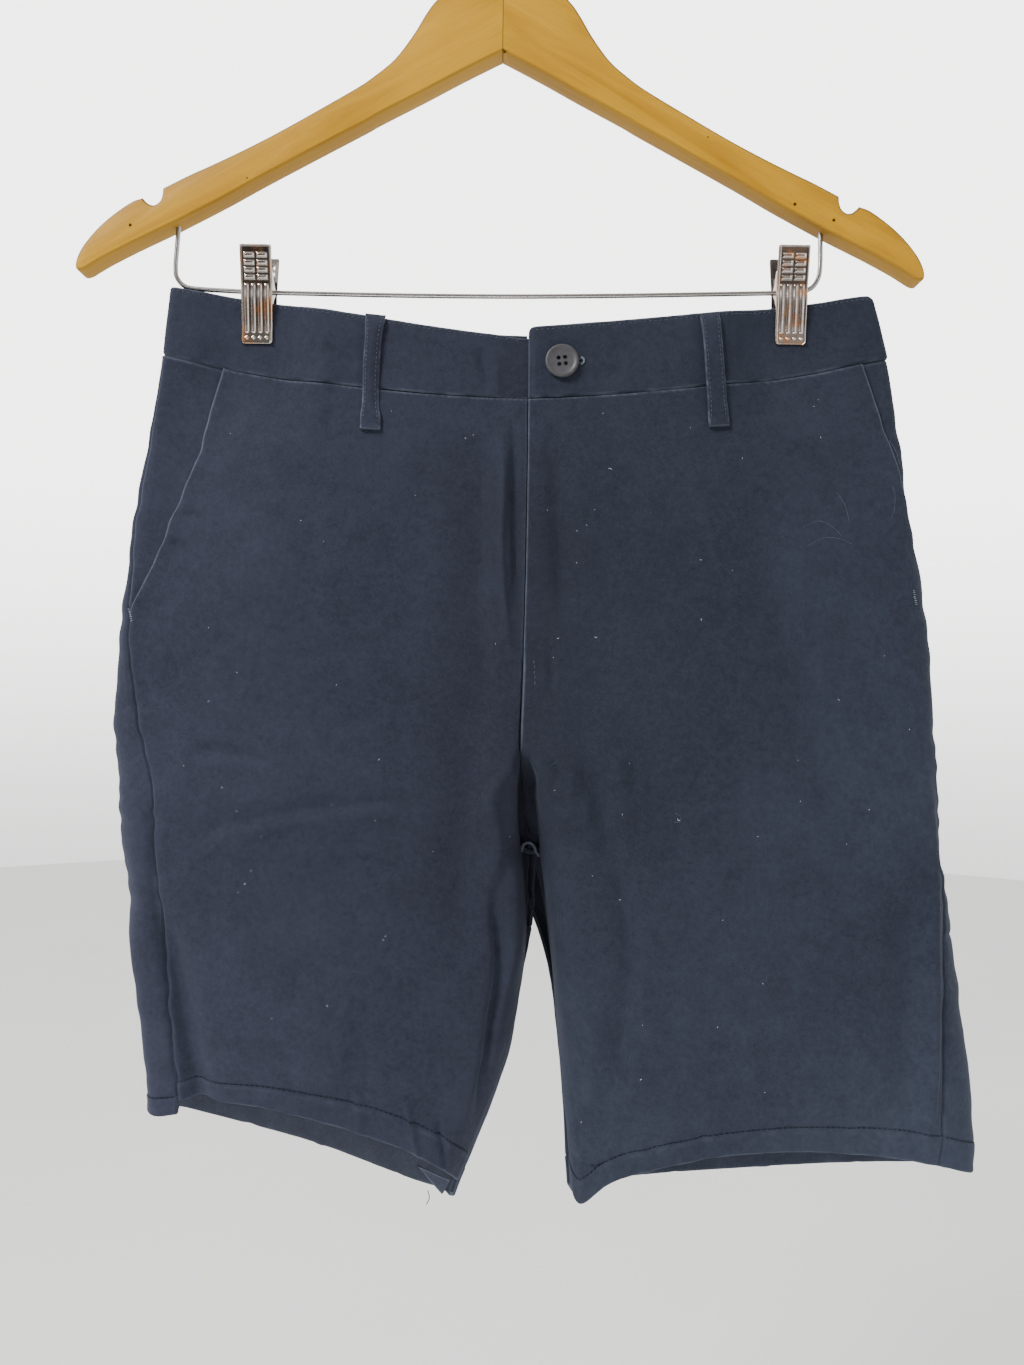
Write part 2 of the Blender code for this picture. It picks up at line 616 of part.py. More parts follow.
# ---------------------------------------------------------------- hanger
# outline of one arm, from the crown round the tip and back along the underside:
# distance from the middle, height
ARM_TOP = ((0, -60.0), (13, -61.8), (25, -67.4), (35, -77.2), (40.2, -84.2), (46, -94), (52.2, -103.0),
           (57.8, -109.6), (65.4, -116.0), (74.5, -122.6), (93, -133.6), (117, -147.4), (136, -157.4),
           (152, -165.2), (164, -170.8), (177.2, -177.6))
NOTCH = ((177.4, -180.4), (178.4, -183.8), (181.0, -186.2), (183.8, -186.2), (186.4, -184.4))
ARM_TIP = ((187.8, -182.8), (194, -185.2), (203.8, -192.2), (211.6, -199.4), (218, -207.2), (221.4, -213.4),
           (222.6, -218.4), (221.4, -220.9), (218.0, -220.5), (214, -218.1), (207, -213.9), (194, -207.0))
ARM_UNDER = ((171.2, -195.9), (146.1, -182.6), (126.2, -171.3), (98, -155.9), (72.3, -142.0), (63.8, -137.1),
             (41.2, -125.2), (21.7, -114.6), (3.5, -105.2), (0, -103.6))


def arm(name, side):
    pts = []
    for run, per in ((ARM_TOP, 3), (NOTCH, 2), (ARM_TIP, 3), (ARM_UNDER, 1)):
        pts += [(p.x, p.y) for p in smooth_path([(x, z, 0) for x, z in run], per)]
    pts[0] = (SEAM_GAP / 2, pts[0][1])
    pts[-1] = (SEAM_GAP / 2, pts[-1][1])
    pts = [(side * max(x, SEAM_GAP / 2), z) for x, z in pts]
    if side < 0:
        pts.reverse()
    ob = outline(name, pts, HANGER_THICK / 2, WOOD, turn=(math.pi / 2, 0, 0), bevel=1.6)
    bore(ob, (0, 0, CROWN_Z - 6), HOOK_WIRE + 0.7, 40)
    bore(ob, (170.1 * side - 0.7, 0, -190), BAR_DIA + 0.9, 22)
    return ob


arm("hanger_arm_right", -1)
arm("hanger_arm_left", +1)


def hook():
    """Wire hook: the stem rises from the crown and turns over the rail."""
    r = HOOK_INSIDE + HOOK_WIRE / 2
    cz = -HOOK_INSIDE
    pts = [(0, 0, CROWN_Z - 20), (0, 0, CROWN_Z - 6), (0, 0, CROWN_Z + 4)]
    pts += [tuple(p) for p in smooth_path([(0, 0, CROWN_Z + 4), (0.6, 0, -50.5), (4.6, 0, -44.6),
                                           (r * math.cos(-0.98), 0, cz + r * math.sin(-0.98))], 4)[1:]]
    n = 26
    for k in range(1, n + 1):
        a = -0.98 + (math.pi + 0.98 + 0.42) * k / n
        pts.append((r * math.cos(a), 0, cz + r * math.sin(a)))
    return wire("hook", pts, HOOK_WIRE, CHROME, 3)


hook()


def clip_bar():
    """Wire bar under the arms that the two clips slide on."""
    pts = [(-170.8, 0, -186), (-170.8, 0, -199), (-171.6, 0, -210)]
    pts += [tuple(p) for p in smooth_path([(-171.9, 0, -216), (-171.2, 0, -222.0), (-167.0, 0, -226.6),
                                           (-160.0, 0, -228.0)], 3)]
    pts += [(-140, 0, -229.0), (-127.5, 0, BAR_Z[-1]), (-100, 0, -229.8), (-50, 0, -230.2), (6, 0, -230.0),
            (60, 0, -229.0), (110, 0, -227.6), (153.3, 0, BAR_Z[1])]
    pts += [tuple(p) for p in smooth_path([(158, 0, -226.0), (164.8, 0, -223.6), (168.4, 0, -218.6),
                                           (169.4, 0, -212.0)], 3)]
    pts += [(169.4, 0, -199), (169.4, 0, -186)]
    return wire("clip_bar", pts, BAR_DIA, CHROME, 2)


clip_bar()

# side view of one jaw, grip at the top and tooth at the foot: distance in front, height
JAW = ((9.6, 0.0), (9.2, -4.0), (6.9, -15.0), (5.6, -21.0), (5.4, -27.0), (4.6, -33.0), (3.6, -40.0),
       (3.4, -46.0), (3.4, -50.0))


def jaw(name, side, front):
    """Bent plate of a clip with two ears at the bar."""
    y = -1 if front else 1
    path = smooth_path([(d, z, 0) for d, z in JAW], 2)
    ring = [(p.x + 0.45, p.y) for p in path] + [(p.x - 0.35, p.y) for p in reversed(path)]
    ring = [(q[0], q[1]) for q in ring]
    pts = [(y * d, CLIP_TOP[side] + z) for d, z in ring]
    if front:
        pts.reverse()
    # outline lies in X-Y of its own plane, turned to stand in Y-Z
    ob = outline(name, pts, CLIP_WIDE / 2, CHROME, centre=(CLIP_X[side], 0, 0),
                 turn=(math.pi / 2, 0, math.pi / 2))
    return ob


def spring(name, side):
    """Coil of the clip round the bar."""
    r, turns, n = 3.0, 4, 9
    x0 = CLIP_X[side]
    pts = []
    for k in range(turns * n + 1):
        a = 2 * math.pi * k / n
        pts.append((x0 - 5.0 + 10.0 * k / (turns * n), r * math.cos(a), BAR_Z[side] + r * math.sin(a)))
    return wire(name, pts, 1.3, CHROME, 1)


for side, word in ((-1, "right"), (+1, "left")):
    jaw("clip_front_" + word, side, True)
    jaw("clip_rear_" + word, side, False)
    spring("clip_spring_" + word, side)
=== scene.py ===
"""Looks of the chino shorts on their clip hanger.

Frame: +Z up, the front faces -Y, +X is the wearer's left, origin inside the
top of the hook. Tables are in millimetres; Blender's units are metres.
"""
import math

import bpy
import bmesh
import numpy as np
from mathutils import Matrix, Vector


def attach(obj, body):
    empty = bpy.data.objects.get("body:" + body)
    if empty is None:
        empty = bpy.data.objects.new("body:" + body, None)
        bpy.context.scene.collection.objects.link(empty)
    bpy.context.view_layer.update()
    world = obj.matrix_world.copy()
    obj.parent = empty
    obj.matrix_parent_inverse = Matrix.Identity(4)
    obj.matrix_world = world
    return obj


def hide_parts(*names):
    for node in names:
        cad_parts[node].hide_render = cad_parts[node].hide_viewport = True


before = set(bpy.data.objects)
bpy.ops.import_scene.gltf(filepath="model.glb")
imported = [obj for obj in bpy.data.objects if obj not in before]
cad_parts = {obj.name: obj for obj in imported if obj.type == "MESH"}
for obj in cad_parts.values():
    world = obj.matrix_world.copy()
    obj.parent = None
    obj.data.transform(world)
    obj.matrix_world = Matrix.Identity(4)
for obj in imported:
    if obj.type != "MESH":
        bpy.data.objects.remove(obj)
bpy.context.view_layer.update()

MM = 0.001
SCENE = bpy.context.scene
COLL = bpy.data.collections.new("shorts_looks")
SCENE.collection.children.link(COLL)

# ------------------------------------------------------------ sizes (mm)
CLOTH = 1.2
BAND = 2.4
HEM_DEEP = 15.0
HEM_THICK = 2.6
LOOP_WIDE = 10.5
BUTTON_DIA = 17.5
SEAM_GAP = 0.3
CLIP_X = {-1: -127.5, +1: 153.3}
CLIP_TOP = {-1: -207.8, +1: -204.8}
CLIP_WIDE = 16.5
BAR_Z = {-1: -229.4, +1: -226.3}
BAR_DIA = 2.5
HANGER_THICK = 13.0
CROWN_Z = -60.0
HOOK_WIRE = 4.0
HOOK_INSIDE = 20.0

# ------------------------------------------- the garment's sections by level
COLS = ("side_z", "side_x", "seam", "slant", "in_z", "in_x", "edge_x", "in_y",
        "close", "front", "back", "nose", "heel", "back_z", "sag_f", "sag_b", "wrap")
RIGHT = (   # wearer's right, -X
    (-227.6, -174.3, 1, 34.0, -248.5, 15.2, 15.2, 0, 0.00, 8.5, 8.5, 4.6, 14, -248.5, -2.6, -4.0, 0),
    (-263.2, -178.2, 1, 34.0, -286.8, 15.4, 15.4, 0, 0.00, 11, 11, 5.5, 14, -283.0, -5.2, -5.0, 0),
    (-313.6, -185.2, 2, 29.0, -318.5, 15.4, 15.4, 0, 0.00, 16, 18, 8.0, 14, -318.5, -3.0, -2.0, 0),
    (-364.0, -192.4, 4, 17.5, -365.5, 15.2, 15.2, 0, 0.00, 20, 24, 11.0, 14, -368.0, 0.0, 0.0, 0),
    (-412.0, -198.4, 8, -4.0, -418.0, 14.4, 14.4, 0, 0.00, 24, 28, 13.0, 13, -420.0, 0.0, 0.0, 0),
    (-462.0, -199.2, 18, 0.0, -466.0, 12.9, 13.2, 1, 0.04, 28, 30, 15.0, 10, -466.0, 0.0, 0.0, 0),
    (-496.0, -196.6, 23, 0.0, -500.0, 13.2, 16.8, 6, 0.62, 31, 31, 16.0, 8, -500.0, 0.0, 0.0, 0),
    (-527.0, -193.8, 22, 0.0, -526.0, 15.3, 20.3, 12, 1.00, 33, 30, 17.0, 9, -526.0, 0.0, 0.0, 0),
    (-564.0, -189.8, 22, 0.0, -566.0, 17.0, 17.0, 10, 1.00, 34, 29, 19.0, 12, -566.0, 0.0, -3.0, 0),
    (-616.0, -182.8, 21, 0.0, -624.0, 12.0, 12.0, 8, 1.00, 31, 25, 20.0, 14, -624.0, 5.0, -8.0, 9),
    (-661.5, -179.2, 21, 0.0, -710.5, -19.0, -19.0, 8, 1.00, 25, 17, 15.0, 11, -711.5, 24.0, 0.0, 6),
)
LEFT = (    # wearer's left, +X
    (-227.6, 197.8, -15, 34.0, -248.5, 15.2, 15.2, 0, 0.00, 8.5, 8.5, 4.6, 14, -248.5, -1.6, -3.0, 0),
    (-261.2, 205.2, -15, 34.0, -286.8, 15.4, 15.4, 0, 0.00, 11, 11, 5.5, 14, -283.0, -4.0, -4.0, 0),
    (-309.5, 213.6, -15, 29.0, -318.5, 15.4, 15.4, 0, 0.00, 16, 18, 8.0, 14, -318.5, -2.0, -2.0, 0),
    (-361.0, 221.0, -12, 17.5, -365.5, 15.2, 15.2, 0, 0.00, 20, 24, 11.0, 14, -368.0, 0.0, 0.0, 0),
    (-411.0, 227.6, -5, -4.0, -418.0, 14.4, 14.4, 0, 0.00, 24, 28, 13.0, 13, -420.0, 0.0, 0.0, 0),
    (-462.0, 232.2, 1, 0.0, -466.0, 15.4, 13.2, 1, 0.04, 28, 30, 15.0, 10, -466.0, 0.0, 0.0, 0),
    (-494.0, 234.0, 2, 0.0, -500.0, 22.6, 16.8, 6, 0.62, 31, 31, 15.0, 8, -500.0, 0.0, 0.0, 0),
    (-525.0, 236.2, 4, 0.0, -526.0, 25.8, 20.3, 12, 1.00, 33, 30, 15.0, 9, -526.0, 0.0, 0.0, 0),
    (-562.0, 241.2, 9, 0.0, -566.0, 30.0, 30.0, 9, 1.00, 32, 28, 14.0, 11, -566.0, 0.0, -3.0, 0),
    (-620.0, 250.0, 18, 0.0, -624.0, 35.6, 35.6, 4, 1.00, 28, 24, 13.0, 12, -624.0, 3.0, -6.0, 0),
    (-690.2, 255.0, 23, 0.0, -703.0, 42.8, 42.8, 2, 1.00, 21, 18, 12.0, 10, -706.5, 24.0, 1.0, 0),
)


def monotone(ys, t):
    """Smooth curve through ys at t = 0, 1, 2 ... that never overshoots."""
    n = len(ys)
    t = min(max(t, 0.0), n - 1.0)
    k = min(int(t), n - 2)
    steps = [ys[i + 1] - ys[i] for i in range(n - 1)]

    def slope(i):
        if i == 0 or i == n - 1:
            return steps[0] if i == 0 else steps[-1]
        a, b = steps[i - 1], steps[i]
        return 0.0 if a * b <= 0 else 2 * a * b / (a + b)
    u = t - k
    m0, m1 = slope(k), slope(k + 1)
    return ((2 * u**3 - 3 * u**2 + 1) * ys[k] + (u**3 - 2 * u**2 + u) * m0
            + (3 * u**2 - 2 * u**3) * ys[k + 1] + (u**3 - u**2) * m1)


def soft(x):
    x = np.clip(x, 0.0, 1.0)
    return x * x * (3 - 2 * x)


class Half:
    """One half of the garment's outer surface, as sections by level."""

    def __init__(self, side, rows):
        self.side = side
        self.cols = {c: [r[i] for r in rows] for i, c in enumerate(COLS)}
        self.made = {}
        self.build()

    def value(self, col, t):
        return monotone(self.cols[col], t)

    def branch(self, t, depth, z_in, sag):
        v_back = self.value("in_z", t) - 3.6 * (depth > 0)
        v = {c: self.value(c, t) for c in ("side_z", "side_x", "in_x", "edge_x",
                                           "in_y", "close", "nose", "heel")}
        if self.side > 0 and depth < 0:
            v["in_x"] += 3.0 * math.exp(-((t - 5.42) / 0.27) ** 2)
        # the outseam puckers in and out
        v["side_x"] += self.side * float(soft((t - 1.3) / 0.7)) * (
            0.55 * math.sin(3.3 * t + 1.3 * self.side) + 0.42 * math.sin(7.9 * t + 0.7) * math.sin(1.9 * t + self.side)
            + 0.38 * math.sin(17.3 * t + 2.0 * self.side) * math.sin(2.7 * t + 0.4))
        wide = abs(v["in_x"] - v["side_x"])
        nose, heel, shut = v["nose"], v["heel"], v["close"]
        a = np.linspace(0, math.pi / 2, 26)
        d = np.concatenate([wide - heel * (1 - np.cos(a))[:-1],
                            np.linspace(wide - heel, nose, 60),
                            nose * (1 - np.cos(a[::-1]))[1:]])
        q = d / wide
        big = abs(depth)
        # the front folds sharply back at the crotch and the inner thigh
        fold = float(soft((t - 4.7) / 0.7) * soft((9.4 - t) / 1.8)) if depth < 0 else 0.0
        end = 1 - np.clip(1 - d / nose, 0, 1) ** 2
        body = 1 - (1 - q) ** 2.4
        leg = 1 - np.abs(2 * q - 1) ** (3.2 + 5.0 * fold * (q > 0.5))
        shape = nose * np.sqrt(end) + (big - nose) * ((1 - shut) * body + shut * leg)
        turn = np.sqrt(1 - np.clip(1 - (wide - d) / heel, 0, 1) ** (2 + 6 * fold))
        deep = max(shut, float(soft((t - 4.92) / 0.75))) if depth < 0 else shut
        shape = shape * (1 - deep * (1 - turn))
        x = v["side_x"] - self.side * d
        hold = 1 - float(soft((t - 0.75) / 1.2))
        press = hold * soft((38.0 - np.abs(x - CLIP_X[self.side])) / 28.0)
        thin = BAND + 0.16
        shape = np.where(shape > thin, thin + (shape - thin) * (1 - press), shape)
        y = v["in_y"] * q + math.copysign(1, depth) * shape
        run = np.concatenate([[0], np.cumsum(np.hypot(np.diff(x), np.diff(y)))])
        x = x + (v["edge_x"] - v["in_x"]) * soft(1 - run / (10.0 - 5.5 * fold))
        if t < 7.6:
            part = SEAM_GAP * (0.6 + 1.6 * float(soft((t - 5.6) / 1.2)))
            x = x + self.side * part * soft(1 - run / 9.0)
        u = 1 - run / run[-1]
        z = v["side_z"] + (z_in - v["side_z"]) * u + sag * 4 * u * (1 - u)
        if self.side < 0 and depth > 0:      # the back hem droops towards the inseam
            z = z - 6.5 * float(soft((t - 9.0) / 1.0)) * np.exp(-((u - 0.86) / 0.24) ** 2) * (1 - soft((u - 0.95) / 0.05))
        if self.side > 0 and t > 9.4:        # and on the other leg ends in a soft lobe
            tip = float(soft((t - 9.5) / 0.5))
            end_z = 7.0 if depth < 0 else 7.0 + v_back - z_in
            z = z + tip * (end_z * np.exp(-((1 - u) / 0.028) ** 2) - 8.6 * np.exp(-((u - 0.945) / 0.05) ** 2) * (depth < 0)
                           - 5.0 * np.exp(-((u - 0.945) / 0.05) ** 2) * (depth > 0))
        if self.side > 0 and t < 1.2:        # the band's outer corner is rounded
            turn = np.clip(1 - np.abs(x - v["side_x"]) / 6.5, 0, 1)
            z = z - 5.2 * (1 - np.sqrt(1 - turn ** 2)) * max(0.0, 1 - t) ** 3
        return np.stack([x, y, z], axis=1)

    def row(self, t):
        key = round(t, 6)
        if key not in self.made:
            g = lambda c: self.value(c, t)
            f = self.branch(t, -g("front"), g("in_z"), g("sag_f"))
            b = self.branch(t, g("back"), g("back_z"), g("sag_b"))[::-1]
            # behind the crotch the two legs' back edges lean together
            lean = float(soft((t - 5.9) / 0.8) * soft((8.75 - t) / (0.85 if self.side < 0 else 1.4)))
            near = np.clip(1 - np.abs(b[:, 0] - g("in_x")) / 26.0, 0, 1) ** 2 * soft((b[:, 1] - 1.0) / 7.0)
            b[:, 0] -= self.side * lean * near * (4.6 if self.side < 0 else 11.5)
            pts = np.concatenate([f, b[1:]])
            arc = np.concatenate([[0], np.cumsum(np.linalg.norm(np.diff(pts, axis=0), axis=1))])
            side = arc[len(f) - 1]
            seam = g("seam")
            if seam >= 0:
                seam_at = side - np.interp(seam, np.abs(f[::-1, 0] - f[-1, 0])[:70],
                                           (side - arc[:len(f)])[::-1][:70])
            else:
                seam_at = side - seam
            wrap = g("wrap")
            if wrap > 0.01:
                cut = np.array([np.interp(wrap, arc, pts[:, i]) for i in range(3)])
                k = int(np.searchsorted(arc, wrap))
                pts = np.concatenate([[cut], pts[k:], pts[1:k], [cut]])
                arc = np.concatenate([[0], np.cumsum(np.linalg.norm(np.diff(pts, axis=0), axis=1))])
                seam_at -= wrap
                side -= wrap
            self.made[key] = (arc, pts, seam_at, side)
        return self.made[key]

    def build(self):
        """Fine grid of points, normals and lengths that everything is read from."""
        ts, ss = np.linspace(0, 10, 501), np.linspace(0, 2, 1001)
        pts, along, self.seam, self.total, self.silh = [], [], [], [], []
        for t in ts:
            arc, p, seam, side = self.row(t)
            a = np.where(ss <= 1, ss * seam, seam + (ss - 1) * (arc[-1] - seam))
            pts.append(np.stack([np.interp(a, arc, p[:, i]) for i in range(3)], axis=-1))
            along.append(side - a)
            self.seam.append(seam), self.total.append(arc[-1]), self.silh.append(side)
        self.P, self.A = np.array(pts), np.array(along)
        du, dv = np.gradient(self.P, axis=1), np.gradient(self.P, axis=0)
        shut = np.array([self.value("close", t) > 0.999 for t in ts])
        wrap = self.P[:, 1] - self.P[:, -2]      # a closed leg runs on past its inseam
        du[shut, 0] = du[shut, -1] = wrap[shut]
        n = np.cross(du, dv) * -self.side
        self.N = n / np.linalg.norm(n, axis=2)[..., None]
        step = np.linalg.norm(np.diff(self.P, axis=0), axis=2)
        self.C = np.concatenate([np.cumsum(step[::-1], axis=0)[::-1], np.zeros((1, len(ss)))])

    def look(self, grid, t, s):
        """Value of a grid at level t and position s, arrays of one shape."""
        u = np.clip(np.asarray(t, float) * 50, 0, 499.999)
        v = np.clip(np.asarray(s, float) * 500, 0, 999.999)
        i, j = u.astype(int), v.astype(int)
        fu, fv = u - i, v - j
        if grid.ndim == 3:
            fu, fv = fu[..., None], fv[..., None]
        return ((grid[i, j] * (1 - fu) + grid[i + 1, j] * fu) * (1 - fv)
                + (grid[i, j + 1] * (1 - fu) + grid[i + 1, j + 1] * fu) * fv)

    def span(self, t):
        """Lengths of a row: inner edge to outseam, and all round to the back inner edge."""
        at = np.asarray(t, float) * 50
        k = np.arange(501)
        return np.interp(at, k, self.seam), np.interp(at, k, self.total)

    def raw(self, t, s):
        s = np.asarray(s, float)
        return self.look(self.P, np.broadcast_to(t, s.shape), s)

    def shift(self, t, s, mm):
        seam, total = self.span(t)
        return s + mm / (seam if s + mm * 1e-6 < 1 else total - seam)

    def frame(self, t, s):
        """Points, outward normals and distance from the side silhouette (+ to the front)."""
        s = np.atleast_1d(np.asarray(s, float))
        t = np.broadcast_to(np.asarray(t, float), s.shape)
        n = self.look(self.N, t, s)
        n = n / np.linalg.norm(n, axis=-1)[..., None]
        return self.look(self.P, t, s), n, self.look(self.A, t, s)

    def hem_level(self, s, mm):
        """Level that lies mm above the hem at s."""
        s = np.asarray(s, float)
        mm = np.broadcast_to(mm, s.shape)
        t = np.full(s.shape, 9.7)
        for _ in range(12):
            d = self.look(self.C, t, s)
            e = self.look(self.C, t - 0.05, s)
            t = np.clip(t + (d - mm) * 0.05 / (e - d), 5.0, 10.0)
        return t


HALF = {-1: Half(-1, RIGHT), +1: Half(+1, LEFT)}


# ------------------------------------------------------------ smooth noise
def lattice(seed, nx=64, ny=64):
    return np.random.default_rng(seed).uniform(-1, 1, (nx, ny))


def noise2(u, v, seed):
    """Smooth value noise, about -1..1, period 1 per unit."""
    g = lattice(seed)
    iu, iv = np.floor(u).astype(int), np.floor(v).astype(int)
    fu, fv = soft(u - iu), soft(v - iv)
    n = g.shape[0]
    a, b = g[iu % n, iv % n], g[(iu + 1) % n, iv % n]
    c, d = g[iu % n, (iv + 1) % n], g[(iu + 1) % n, (iv + 1) % n]
    return (a * (1 - fu) + b * fu) * (1 - fv) + (c * (1 - fu) + d * fu) * fv


def smooth_path(knots, per=6):
    """Catmull-Rom points through knots."""
    k = [np.array(p, float) for p in knots]
    k = [k[0] * 2 - k[1]] + k + [k[-1] * 2 - k[-2]]
    out = []
    for i in range(1, len(k) - 2):
        a, b, c, d = k[i - 1], k[i], k[i + 1], k[i + 2]
        for j in range(per):
            u = j / per
            out.append(0.5 * (2 * b + (c - a) * u + (2 * a - 5 * b + 4 * c - d) * u * u
                              + (3 * b - a - 3 * c + d) * u ** 3))
    out.append(k[-2])
    return np.array(out)


# ------------------------------------------------------------ folds
# Each fold follows a line of (x, z) on the front or back as seen from in front:
# name, line, width to its -X side, width to its +X side, height (+ ridge, - trough)
# For a line drawn level towards +X the first width is below it and the second above.
FRONT_RIGHT = (
    ("ridge beside the fly", ((0.2, -300.6), (3.5, -324.9), (2.8, -367.9), (6, -403.3),
     (9.3, -427.1)), 2, 1.8, 0.95),
    ("valley at the fly", ((7.2, -290.8), (8.9, -326.4), (9.9, -367.1), (11.1, -403.6)), 2.4, 2.6, -1.3),
    ("valley beside the fly", ((-12, -293.6), (-8.4, -342.2), (-9.3, -392.9), (-6.2, -438.4),
     (-7.9, -469.8)), 13, 6.5, -2.3),
    ("crotch hollow", ((-18.2, -433.5), (-12.8, -466.1), (-13.9, -501.3), (-13.9, -539),
     (-9.3, -586.6)), 13, 9, -2.8),
    ("edge of the inner thigh", ((14.9, -469.4), (5.5, -481.6), (-2, -494.3), (2.8, -513.4), (0, -532.1),
     (1.2, -546.7)), 3.2, 4.2, 1.7),
    ("inner thigh crease", ((-0, -528.1), (2.3, -555.3), (4.3, -571.9), (3.7, -588.6), (0.5, -610.3),
     (-2.2, -635.6), (-7.4, -670.4)), 2.6, 3.0, -4.2),
    ("inner thigh roll", ((7.9, -515.5), (10.3, -545), (10.6, -570.4), (6.9, -600.9)), 4.5, 5, 1.3),
    ("level crease high", ((-156.4, -471.3), (-136.5, -470), (-112.6, -477.3)), 4.5, 2.6, -0.85),
    ("level crease high lit", ((-149.2, -476.8), (-131.4, -477.1), (-109.4, -482.9)), 4, 3, 0.4),
    ("level crease long", ((-157.8, -525.6), (-140.4, -509.9), (-120.4, -505.1), (-98.8, -501.3),
     (-65.7, -497.4), (-47.6, -496.2), (-26.5, -500.4)), 2.4, 6.5, -0.95),
    ("level crease long lit", ((-146.9, -516.5), (-120.3, -509.6), (-96.7, -505.3), (-65.6, -501.4),
     (-31.4, -503.5)), 4.5, 2.5, 0.45),
    ("outseam valley", ((-172.7, -537.8), (-163.5, -573.5), (-157.6, -599.1), (-152.7, -624.6),
     (-148.8, -650.2), (-141.6, -696.2)), 5.5, 8.5, -6),
    ("outseam valley head", ((-177.3, -481.9), (-173.4, -512.8), (-171.4, -548.9),
     (-166.9, -579.8)), 3, 4, -1),
    ("back panel roll", ((-187.9, -539.5), (-181.3, -575.9), (-175.7, -607), (-171.1, -638.1),
     (-167.1, -669.3), (-162.6, -700.4)), 6.5, 7, 2),
    ("hem fold a", ((-67.4, -637.4), (-66.2, -653.7), (-64.4, -673)), 1.8, 1.4, 0.55),
    ("hem fold b", ((-43.7, -640.4), (-39.8, -663.4), (-35, -686.3)), 1.6, 1.3, 0.7),
    ("hem fold c", ((-27.3, -653.8), (-24.5, -674.3), (-21.7, -694.8)), 1.4, 1.6, -0.8),
    ("thigh soft valley", ((-70.8, -595.5), (-64.5, -620.7), (-62.1, -650.9)), 9, 7, -0.7),
    ("front soft ridge", ((-99.7, -328.1), (-88.7, -404), (-89.8, -474.9)), 30, 30, 0.9),
    ("band wrinkle a", ((-91.9, -256.8), (-82.4, -264), (-72, -271.1)), 2.6, 2.2, -0.55),
    ("band wrinkle b", ((-9.9, -255.1), (-7.6, -268.6), (-3.3, -285.1)), 3, 2, -0.6),
    ("band wrinkle c", ((0.5, -256), (-0.9, -270), (0.9, -287.1)), 2.6, 2.4, 0.4),
    ("under the loop", ((-98.9, -282.8), (-90.5, -292.9), (-82.1, -304.7)), 3, 2.4, -0.6),
    ("pocket pucker a", ((-160, -328.8), (-155.4, -330.2), (-150.7, -332.2)), 1.8, 1.5, -0.5),
    ("pocket pucker b", ((-162.3, -347.3), (-155.6, -349.8), (-148.4, -353.3)), 2, 1.5, -0.6),
    ("pocket pucker c", ((-168.9, -361.8), (-163.7, -365.3), (-158.5, -369.9)), 1.8, 1.4, -0.5),
    ("pocket pucker d", ((-178.2, -393.8), (-173.6, -396.3), (-167.4, -399.8)), 1.8, 1.4, -0.5),
    ("pocket pucker e", ((-164.6, -373.5), (-157.4, -377.1), (-151.1, -382.6)), 1.8, 1.4, 0.35),
    ("side pucker a", ((-196.6, -447.6), (-190.3, -448.6), (-181.4, -448)), 1.2, 1.5, -0.7),
    ("side pucker b", ((-192.9, -490.9), (-185.6, -492.4), (-178.3, -489.2)), 2, 1.5, -0.5),
    ("side pucker c", ((-190.5, -515.4), (-184.3, -513.8), (-177, -512.6)), 2, 1.5, -0.4),
)
